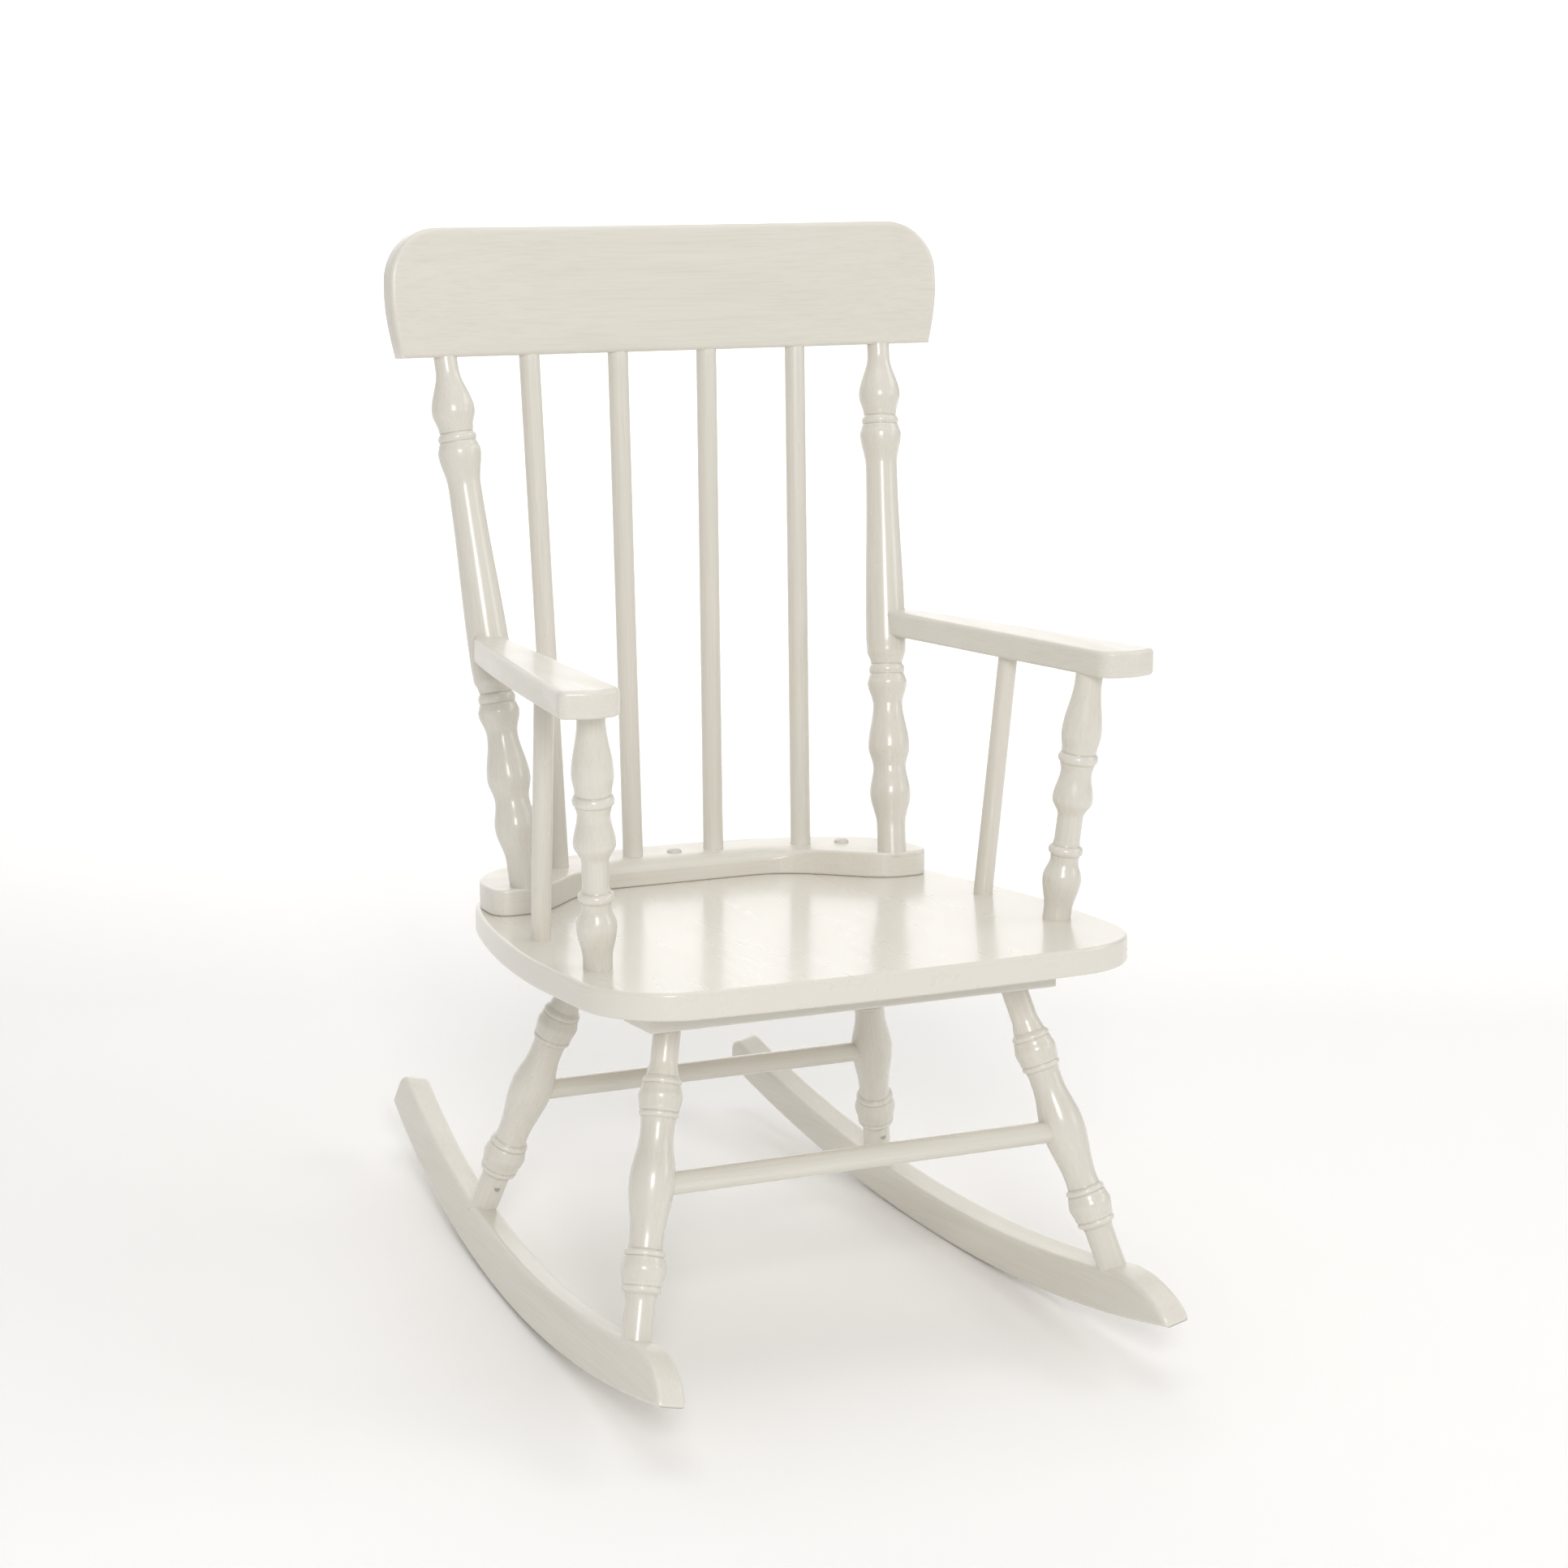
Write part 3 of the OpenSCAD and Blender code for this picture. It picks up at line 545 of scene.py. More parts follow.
def linear(hex_colour: str) -> tuple[float, float, float, float]:
    """Linear colour of an sRGB hex value such as #E4DFD5."""
    parts = [int(hex_colour[i:i + 2], 16) / 255 for i in (1, 3, 5)]
    lin = [c / 12.92 if c <= 0.04045 else ((c + 0.055) / 1.055) ** 2.4 for c in parts]
    return (lin[0], lin[1], lin[2], 1.0)


def add_node(tree: bpy.types.NodeTree, kind: str, settings: dict[str, object] | None = None,
             inputs: dict[str | int, object] | None = None) -> bpy.types.Node:
    """Adds a node with its settings and links.

    Args:
        tree: The tree that it goes in.
        kind: The node's type name.
        settings: Its properties by name.
        inputs: A value, or an output socket to link from, for each input by name or number.

    Returns:
        The node.
    """
    node = tree.nodes.new(kind)
    for name, value in (settings or {}).items():
        setattr(node, name, value)
    for name, value in (inputs or {}).items():
        if isinstance(value, bpy.types.NodeSocket):
            tree.links.new(value, node.inputs[name])
        else:
            node.inputs[name].default_value = value
    return node


@dataclass(frozen=True)
class PaintedWood:
    """Satin to semi-gloss enamel sprayed over close-grained hardwood.

    The paint is thin, so the wood's fine pores and lines telegraph through as faint streaks
    along the grain. Crests and edges get a painted highlight, and the grooves get painted shade.
    """

    name: str
    paint: str = "#DEDAD0"
    streak: str = "#CFC9BC"
    # Darker colour of the painted shade in the grooves.
    groove: str = "#B4AC9B"
    # Paler colour of the painted highlight on crests and edges.
    crest: str = "#EAE7E0"
    # Roughness of the base coat, and how far it wanders either way.
    roughness: float = 0.36
    patchy: float = 0.06
    coat: float = 0.35
    coat_roughness: float = 0.16
    grain_width_mm: float = 1.6
    grain_length_mm: float = 70.0
    grain_depth_mm: float = 0.06
    # The broad streaks' width and length, and their share beside the fine ones.
    broad_mm: Pair = (14.0, 160.0)
    broad_share: float = 0.6
    fibre_rough: float = 0.6
    fibre_waver: float = 0.4
    ior: float = 1.5
    peel_mm: float = 3.0
    peel_share: float = 0.35
    streak_share: float = 0.42
    # Strength of the bump, of the painted shade in the grooves and of the painted highlight on the
    # crests.
    relief: float = 0.35
    gather: float = 0.8
    wear: float = 0.6
    # Stretch of each input over which its effect rises from nothing to all.
    fine_range: Pair = (0.45, 0.75)
    broad_range: Pair = (0.3, 0.7)
    hollow_range: Pair = (0.495, 0.44)
    crest_range: Pair = (0.51, 0.57)

    def build(self) -> bpy.types.Material:
        """Builds the material.

        Returns:
            The material, which reads each piece's own grain attribute.
        """
        material = bpy.data.materials.new(self.name)
        material.use_nodes = True
        tree = material.node_tree
        shader = tree.nodes["Principled BSDF"]
        place = add_node(tree, "ShaderNodeAttribute", {"attribute_name": GRAIN}).outputs["Vector"]
        lines = self._streaks(tree, place, (self.grain_width_mm, self.grain_length_mm), 5.0)
        broad = self._streaks(tree, place, self.broad_mm, 2.0)
        peel = add_node(tree, "ShaderNodeTexNoise", {},
                        {"Vector": place, "Scale": 1 / (self.peel_mm * MM), "Detail": 2.0})
        colour = self._colour(tree, lines, broad)
        tree.links.new(colour, shader.inputs["Base Color"])
        sheen = self._ramp(tree, broad, self.broad_range, self.roughness - self.patchy,
                           self.roughness + self.patchy)
        tree.links.new(sheen, shader.inputs["Roughness"])
        if self.relief:
            height = add_node(tree, "ShaderNodeMix", {"data_type": "FLOAT"},
                              {0: self.peel_share, 2: lines, 3: peel.outputs["Fac"]}).outputs[0]
            bump = add_node(tree, "ShaderNodeBump", {},
                            {"Strength": self.relief, "Distance": self.grain_depth_mm * MM,
                             "Height": height})
            tree.links.new(bump.outputs["Normal"], shader.inputs["Normal"])
        shader.inputs["Coat Weight"].default_value = self.coat
        shader.inputs["Coat Roughness"].default_value = self.coat_roughness
        shader.inputs["IOR"].default_value = self.ior
        return material

    def _streaks(self, tree: bpy.types.NodeTree, place: bpy.types.NodeSocket, size_mm: Pair,
                 detail: float) -> bpy.types.NodeSocket:
        """Noise drawn out along the grain.

        Args:
            tree: The material's tree.
            place: The grain coordinates.
            size_mm: Width and length of a streak.
            detail: Levels of finer streaks inside it.

        Returns:
            The noise's value, from 0 to 1.
        """
        across, run = (1 / (size * MM) for size in size_mm)
        mapped = add_node(tree, "ShaderNodeMapping", {},
                          {"Vector": place, "Scale": (across, across, run)})
        noise = add_node(tree, "ShaderNodeTexNoise", {},
                         {"Vector": mapped.outputs["Vector"], "Scale": 1.0, "Detail": detail,
                          "Roughness": self.fibre_rough, "Distortion": self.fibre_waver})
        return noise.outputs["Fac"]

    def _ramp(self, tree: bpy.types.NodeTree, value: bpy.types.NodeSocket, span: Pair,
              low: float, high: float) -> bpy.types.NodeSocket:
        """A value's rise across a span, drawn out between a low and a high result."""
        ramp = add_node(tree, "ShaderNodeMapRange", {},
                        {"Value": value, 1: span[0], 2: span[1], 3: low, 4: high})
        return ramp.outputs["Result"]

    def _colour(self, tree: bpy.types.NodeTree, lines: bpy.types.NodeSocket,
                broad: bpy.types.NodeSocket) -> bpy.types.NodeSocket:
        """Paint colour with its streaks, painted shade in the grooves and painted highlight on
        crests.

        Args:
            tree: The material's tree.
            lines: The fine streaks.
            broad: The broad streaks.

        Returns:
            The colour.
        """
        fine = self._ramp(tree, lines, self.fine_range, 0.0, self.streak_share)
        wide = self._ramp(tree, broad, self.broad_range, 0.0, self.streak_share * self.broad_share)
        total = add_node(tree, "ShaderNodeMath", {"operation": "ADD"}, {0: fine, 1: wide})
        streaked = add_node(tree, "ShaderNodeMix", {"data_type": "RGBA"},
                            {0: total.outputs[0], 6: linear(self.paint), 7: linear(self.streak)})
        # Pointiness finds the grooves, which get painted shade, and the crests, which get a painted
        # highlight.
        bend = add_node(tree, "ShaderNodeNewGeometry").outputs["Pointiness"]
        hollow = self._ramp(tree, bend, self.hollow_range, 0.0, self.gather)
        proud = self._ramp(tree, bend, self.crest_range, 0.0, self.wear)
        groove_shaded = add_node(tree, "ShaderNodeMix", {"data_type": "RGBA"},
                            {0: hollow, 6: streaked.outputs[2], 7: linear(self.groove)})
        crest_highlighted = add_node(tree, "ShaderNodeMix", {"data_type": "RGBA"},
                        {0: proud, 6: groove_shaded.outputs[2], 7: linear(self.crest)})
        return crest_highlighted.outputs[2]


@dataclass(frozen=True)
class ZincSteel:
    """Zinc-plated steel of ordinary wood screws: dull blue-grey, evenly rough."""

    name: str = "zinc_plated_steel"
    colour: str = "#B9B7B0"
    roughness: float = 0.42
    spot_mm: float = 0.8
    patchy: Pair = (0.08, 0.1)

    def build(self) -> bpy.types.Material:
        """Builds the material."""
        material = bpy.data.materials.new(self.name)
        material.use_nodes = True
        tree = material.node_tree
        shader = tree.nodes["Principled BSDF"]
        place = add_node(tree, "ShaderNodeTexCoord").outputs["Object"]
        spots = add_node(tree, "ShaderNodeTexNoise", {},
                         {"Vector": place, "Scale": 1 / (self.spot_mm * MM), "Detail": 3.0})
        rough = add_node(tree, "ShaderNodeMapRange", {},
                         {"Value": spots.outputs["Fac"], 3: self.roughness - self.patchy[0],
                          4: self.roughness + self.patchy[1]})
        tree.links.new(rough.outputs["Result"], shader.inputs["Roughness"])
        shader.inputs["Base Color"].default_value = linear(self.colour)
        shader.inputs["Metallic"].default_value = 1.0
        return material


@dataclass(frozen=True)
class Backdrop:
    """Smooth pale studio card under and behind the chair."""

    name: str = "pale_card"
    colour: str = "#FBFAF9"
    roughness: float = 0.9

    def build(self) -> bpy.types.Material:
        """Builds the material."""
        material = bpy.data.materials.new(self.name)
        material.use_nodes = True
        shader = material.node_tree.nodes["Principled BSDF"]
        shader.inputs["Base Color"].default_value = linear(self.colour)
        shader.inputs["Roughness"].default_value = self.roughness
        shader.inputs["Specular IOR Level"].default_value = 0.1
        return material


# ---- Geometry Nodes ----------------------------------------------------------------------


@dataclass
class NodeRig:
    """A Geometry Nodes tree with named inputs, and the way to turn its result into a mesh."""

    name: str
    tree: bpy.types.NodeTree = field(init=False)
    source: bpy.types.Node = field(init=False)
    sink: bpy.types.Node = field(init=False)

    def __post_init__(self) -> None:
        """Starts the tree with its geometry in and out."""
        self.tree = bpy.data.node_groups.new(self.name, "GeometryNodeTree")
        for way in ("INPUT", "OUTPUT"):
            self.tree.interface.new_socket("Geometry", in_out=way,
                                           socket_type="NodeSocketGeometry")
        self.source = self.tree.nodes.new("NodeGroupInput")
        self.sink = self.tree.nodes.new("NodeGroupOutput")

    def take(self, name: str, kind: str) -> bpy.types.NodeSocket:
        """Adds a named input and gives its socket inside the tree."""
        self.tree.interface.new_socket(name, in_out="INPUT", socket_type=kind)
        return self.source.outputs[name]

    def close(self, geometry: bpy.types.NodeSocket, finish: bpy.types.NodeSocket) -> None:
        """Ends the tree with smooth shading, realized instances and the material."""
        smooth_faces = add_node(self.tree, "GeometryNodeSetShadeSmooth", {}, {"Geometry": geometry})
        real = add_node(self.tree, "GeometryNodeRealizeInstances", {},
                        {"Geometry": smooth_faces.outputs[0]})
        dressed = add_node(self.tree, "GeometryNodeSetMaterial", {},
                           {"Geometry": real.outputs[0], "Material": finish})
        self.tree.links.new(dressed.outputs[0], self.sink.inputs[0])

    def bake(self, name: str, mesh: bpy.types.Mesh, values: dict[str, object]) -> bpy.types.Object:
        """Runs the tree on a mesh and keeps the result as a plain mesh.

        Args:
            name: The piece's name.
            mesh: The mesh of points or edges that the tree starts from.
            values: The value of each named input.

        Returns:
            The piece, at the origin, with no modifier left.
        """
        seed = bpy.data.objects.new(name + "_seed", mesh)
        bpy.context.scene.collection.objects.link(seed)
        modifier = seed.modifiers.new(self.name, "NODES")
        modifier.node_group = self.tree
        for item in self.tree.interface.items_tree:
            if item.in_out == "INPUT" and item.name in values:
                modifier[item.identifier] = values[item.name]
        bpy.context.view_layer.update()
        graph = bpy.context.evaluated_depsgraph_get()
        result = bpy.data.meshes.new_from_object(seed.evaluated_get(graph))
        bpy.data.objects.remove(seed)
        piece = bpy.data.objects.new(name, result)
        bpy.context.scene.collection.objects.link(piece)
        return piece


def stick_rig() -> NodeRig:
    """Geometry Nodes tree that makes each edge of a mesh a round stick with its grain along it.

    Returns:
        The tree, with the inputs Diameter, Sides, Steps and Finish.
    """
    rig = NodeRig("round_sticks")
    tree = rig.tree
    diameter = rig.take("Diameter", "NodeSocketFloat")
    sides = rig.take("Sides", "NodeSocketInt")
    steps = rig.take("Steps", "NodeSocketInt")
    finish = rig.take("Finish", "NodeSocketMaterial")
    lines = add_node(tree, "GeometryNodeMeshToCurve", {}, {"Mesh": rig.source.outputs["Geometry"]})
    fine = add_node(tree, "GeometryNodeResampleCurve", {},
                    {"Curve": lines.outputs[0], "Count": steps})
    length = add_node(tree, "GeometryNodeSplineParameter").outputs["Length"]
    run = add_node(tree, "GeometryNodeStoreNamedAttribute",
                   {"data_type": "FLOAT", "domain": "POINT"},
                   {"Geometry": fine.outputs[0], "Name": "run", "Value": length})
    radius = add_node(tree, "ShaderNodeMath", {"operation": "DIVIDE"}, {0: diameter, 1: 2.0})
    ring = add_node(tree, "GeometryNodeCurvePrimitiveCircle", {},
                    {"Resolution": sides, "Radius": radius.outputs[0]})
    spot = add_node(tree, "GeometryNodeInputPosition").outputs[0]
    marked = add_node(tree, "GeometryNodeStoreNamedAttribute",
                      {"data_type": "FLOAT_VECTOR", "domain": "POINT"},
                      {"Geometry": ring.outputs[0], "Name": "ring", "Value": spot})
    tube = add_node(tree, "GeometryNodeCurveToMesh", {},
                    {"Curve": run.outputs[0], "Profile Curve": marked.outputs[0],
                     "Fill Caps": True})
    run_in = add_node(tree, "GeometryNodeInputNamedAttribute", {"data_type": "FLOAT"},
                      {"Name": "run"})
    ring_in = add_node(tree, "GeometryNodeInputNamedAttribute", {"data_type": "FLOAT_VECTOR"},
                       {"Name": "ring"})
    apart = add_node(tree, "ShaderNodeSeparateXYZ", {}, {"Vector": ring_in.outputs[0]})
    island = add_node(tree, "GeometryNodeInputMeshIsland").outputs["Island Index"]
    shift = add_node(tree, "ShaderNodeMath", {"operation": "MULTIPLY_ADD"},
                     {0: island, 1: STICK_SHIFT, 2: run_in.outputs[0]})
    grain = add_node(tree, "ShaderNodeCombineXYZ", {},
                     {"X": apart.outputs["X"], "Y": apart.outputs["Y"], "Z": shift.outputs[0]})
    kept = add_node(tree, "GeometryNodeStoreNamedAttribute",
                    {"data_type": "FLOAT_VECTOR", "domain": "POINT"},
                    {"Geometry": tube.outputs[0], "Name": GRAIN, "Value": grain.outputs[0]})
    rig.close(kept.outputs[0], finish)
    return rig


def stud_rig() -> NodeRig:
    """Geometry Nodes tree that stands a small turned shape on each point, along its aim.

    Returns:
        The tree, with the inputs Shape and Finish. The points carry the vector attribute aim.
    """
    rig = NodeRig("studs_on_points")
    tree = rig.tree
    shape = rig.take("Shape", "NodeSocketObject")
    finish = rig.take("Finish", "NodeSocketMaterial")
    stud = add_node(tree, "GeometryNodeObjectInfo", {}, {"Object": shape})
    aim = add_node(tree, "GeometryNodeInputNamedAttribute", {"data_type": "FLOAT_VECTOR"},
                   {"Name": "aim"})
    turn = add_node(tree, "FunctionNodeAlignRotationToVector", {"axis": "Z"},
                    {"Vector": aim.outputs[0]})
    spots = add_node(tree, "GeometryNodeInstanceOnPoints", {},
                     {"Points": rig.source.outputs["Geometry"],
                      "Instance": stud.outputs["Geometry"], "Rotation": turn.outputs[0]})
    rig.close(spots.outputs[0], finish)
    return rig


# ---- Sub-assemblies ----------------------------------------------------------------------


@dataclass
class Workshop:
    """What every sub-assembly works with: sizes, the resting place, finishes and node trees."""

    sizes: ChairSizes
    rockers: RockerSizes
    rest: Matrix
    board: bpy.types.Material
    panel: bpy.types.Material
    turned: bpy.types.Material
    plug: bpy.types.Material
    steel: bpy.types.Material
    sticks: NodeRig
    studs: NodeRig

    def settle(self, piece: bpy.types.Object, slot: str, *nodes: str) -> None:
        """Puts a piece in place of its CAD nodes.

        Args:
            piece: The finished piece.
            slot: Not used.
            nodes: The CAD nodes that it stands for.
        """
        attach(piece, BODY)
        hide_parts(*nodes)
        lows, highs = zip(*(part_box(node) for node in nodes))
        corners = [Vector(v.co) for v in piece.data.vertices]
        proud = 0.0
        for k in range(3):
            low, high = min(v[k] for v in lows), max(v[k] for v in highs)
            proud = max(proud, low - min(c[k] for c in corners), max(c[k] for c in corners) - high)
        LOG.info("%s: %d faces, %.1f mm proud of its box", piece.name,
                 len(piece.data.polygons), proud / MM)

    def add_board(self, shape: Shape, name: str, matrix: Matrix, node: str,
                  side: Side = Side.LEFT, finish: bpy.types.Material | None = None) -> None:
        """Makes a board's shape its visible piece.

        Its normals are weighted by area, so that its flats stay flat beside the eased edges.

        Args:
            shape: The board's shape.
            name: The piece's name.
            matrix: From the board's own frame to metres in the CAD frame.
            node: The CAD node that it stands for.
            side: The right for the mirror image of a left piece.
            finish: Its material, if it isn't the ordinary boards'.
        """
        piece = shape.place(name, matrix, finish or self.board, side is Side.RIGHT)
        modifier = piece.modifiers.new("flat_faces", "WEIGHTED_NORMAL")
        modifier.keep_sharp = True
        modifier.weight = 100
        self.settle(piece, BOARD_SLOT, node)

    def turned_member(self, name: str, stations: Stations, head: Vector, foot: Vector,
                      over: float = 5.0) -> None:
        """Builds the left and right copies of a turned member.

        Args:
            name: The node's name without its side.
            stations: The turned profile, from the head.
            head: The left member's head.
            foot: The left member's foot.
            over: How far it runs into the pieces at its ends.
        """
        for side in Side:
            shape = turning(stations, (foot - head).length, over)
            matrix = self.rest @ along(head, foot)
            piece = shape.place(f"turned_{name}_{side.word}", matrix, self.turned,
                                side is Side.RIGHT)
            self.settle(piece, TURNING_SLOT, f"{name}_{side.word}")

    def stick_row(self, name: str, pairs: Sequence[tuple[Vector, Vector]], diameter: float,
                  nodes: Sequence[str]) -> None:
        """Builds plain round sticks between pairs of points.

        Args:
            name: The piece's name.
            pairs: Each stick's two ends, in the level chair.
            diameter: The sticks' diameter, in millimetres.
            nodes: The CAD nodes that they stand for.
        """
        mesh = bpy.data.meshes.new(name + "_lines")
        ends = [self.rest @ p for pair in pairs for p in pair]
        mesh.from_pydata(ends, [(2 * i, 2 * i + 1) for i in range(len(pairs))], [])
        piece = self.sticks.bake(name, mesh, {"Diameter": diameter * MM, "Sides": STICK_SIDES,
                                              "Steps": STICK_STEPS, "Finish": self.turned})
        self.settle(piece, TURNING_SLOT, *nodes)


@dataclass
class Seat:
    """The plank seat and the curved rail that lies on the back of it."""

    shop: Workshop
    corner_r: float = 60.0
    front_bow: float = 5.0
    front_steps: int = 12
    corner_drop: float = 3.0
    side_lean: float = 2.0
    shoulder_y: float = 120.0
    side_handle: Point2 = (0.5, 60.0)
    hip_handle: float = 50.0
    hip_turn: float = 17.0
    margin: float = 3.0
    rail_end_inset: float = 30.0
    rail_depth: float = 50.0
    rail_lug_reach: float = 106.0
    rail_bow: float = 46.0
    rail_corner_r: float = 65.0
    lug_w: float = 22.0
    lug_r: float = 12.0
    hollow_half: float = 50.0
    roll_depth: float = 15.0
    roll_drop: float = 6.5
    roll_half: float = 100.0
    roll_fade: float = 40.0
    ease: float = 2.4
    rail_ease: float = 1.8
    rail_pitch: Pair = (6.0, 4.0)

    @property
    def rail_half(self) -> float:
        """Half the rail's width."""
        return self.shop.sizes.half_w - self.rail_end_inset

    @property
    def rail_r(self) -> float:
        """Radius of the rail's rear arc."""
        return bow_radius(self.rail_half, self.rail_bow)

    @property
    def rail_cy(self) -> float:
        """Distance of that arc's centre behind the seat's front edge."""
        return self.shop.sizes.seat_d - self.margin - self.rail_r

    @property
    def rail_corner(self) -> Point2:
        """Centre of the rail's rear corner."""
        x = self.rail_half - self.rail_corner_r
        return (x, self.rail_cy + math.sqrt((self.rail_r - self.rail_corner_r) ** 2 - x * x))

    def rear_edge(self, grow: float, start: float = 0.0) -> list[Point2]:
        """Left half of the rail's rear edge, or of the seat's when grown by its margin.

        Args:
            grow: How far the edge stands outside the rail's.
            start: Angle on the rear corner where the edge starts.

        Returns:
            The edge's points, up to the chair's middle.
        """
        corner = self.rail_corner
        turn = math.atan2(corner[1] - self.rail_cy, corner[0])
        return (arc(corner, self.rail_corner_r + grow, start, turn)
                + arc((0, self.rail_cy), self.rail_r + grow, turn, math.pi / 2, 28))

    def seat_outline(self) -> list[Point2]:
        """Outline of the seat board."""
        half_w = self.shop.sizes.half_w
        front_r = bow_radius(half_w, self.front_bow + self.corner_drop)
        corner_x = half_w - self.corner_r
        corner = (corner_x, front_r - math.sqrt(front_r**2 - corner_x**2))
        tip = (half_w - self.side_lean, front_r - math.sqrt(front_r**2 - half_w**2))
        shoulder = (half_w, self.shoulder_y)
        waist = (half_w + self.side_handle[0], self.shoulder_y + self.side_handle[1])
        turn = math.radians(self.hip_turn)
        hip = arc(self.rail_corner, self.rail_corner_r + self.margin, turn, turn)[0]
        behind = (hip[0] + self.hip_handle * math.sin(turn),
                  hip[1] - self.hip_handle * math.cos(turn))
        front = [(x, front_r - math.sqrt(front_r**2 - x * x))
                 for x in (corner_x * i / self.front_steps for i in range(self.front_steps))]
        return both_sides(front + rounded(corner, tip, shoulder, self.corner_r, 20)
                          + curve(shoulder, waist, behind, hip)
                          + self.rear_edge(self.margin, turn))

    def rail_front_half(self) -> list[Point2]:
        """Front edge of the rail from its middle to the tip of its left lug."""
        sizes = self.shop.sizes
        front = sizes.seat_d - self.margin - self.rail_depth
        lug_y = sizes.seat_d - self.rail_lug_reach
        inner = (self.rail_half - self.lug_w, lug_y)
        reach = inner[0] - self.hollow_half
        return ([(0, front), (self.hollow_half / 2, front)]
                + curve((self.hollow_half, front), (self.hollow_half + reach / 2, front),
                        (inner[0] - reach / 3, lug_y), inner))

    def rail_outline(self) -> list[Point2]:
        """Outline of the back rail."""
        lug_y = self.shop.sizes.seat_d - self.rail_lug_reach
        lug = (self.rail_half, lug_y)
        return both_sides(self.rail_front_half()
                          + rounded((self.rail_half - self.lug_w, lug_y), lug,
                                    (self.rail_half, self.rail_corner[1]), self.lug_r)
                          + self.rear_edge(0))

    def rolled_front(self, shape: Shape) -> None:
        """Rolls down the rail's front top edge in the hollow between its lugs."""
        edge = self.rail_front_half()
        top = self.shop.sizes.rail_top
        for vert in shape.mesh.verts:
            x, y, z = vert.co
            if abs(x) > self.roll_half or z < top - self.shop.sizes.rail_t / 2:
                continue
            k = max(i for i, p in enumerate(edge) if p[0] <= abs(x) + 1e-6)
            a, b = edge[k], edge[min(k + 1, len(edge) - 1)]
            t = 0.0 if b[0] <= a[0] else (abs(x) - a[0]) / (b[0] - a[0])
            behind = max(0.0, y - lerp(a[1], b[1], t))
            share = max(0.0, 1 - behind / self.roll_depth)
            fade = smooth((self.roll_half - abs(x)) / self.roll_fade)
            vert.co.z = z - self.roll_drop * fade * share * share

    def build(self) -> None:
        """Builds the seat board and the back rail."""
        shop, sizes = self.shop, self.shop.sizes
        board = slab(self.seat_outline(), sizes.seat_h - sizes.seat_t, sizes.seat_h, self.ease,
                     GrainRun.LENGTHWISE, 6)
        shop.add_board(board, "shaped_seat_board", shop.rest, "seat_board", finish=shop.panel)
        rail = slab(self.rail_outline(), sizes.seat_h, sizes.rail_top, self.rail_ease,
                    GrainRun.ACROSS, 4)
        sliced(rail, 0, spread(-self.rail_half, self.rail_half, self.rail_pitch[0]))
        sliced(rail, 1, spread(sizes.seat_d - self.rail_lug_reach, sizes.seat_d,
                               self.rail_pitch[1]))
        self.rolled_front(rail)
        shop.add_board(rail, "curved_back_rail", shop.rest, "back_rail")


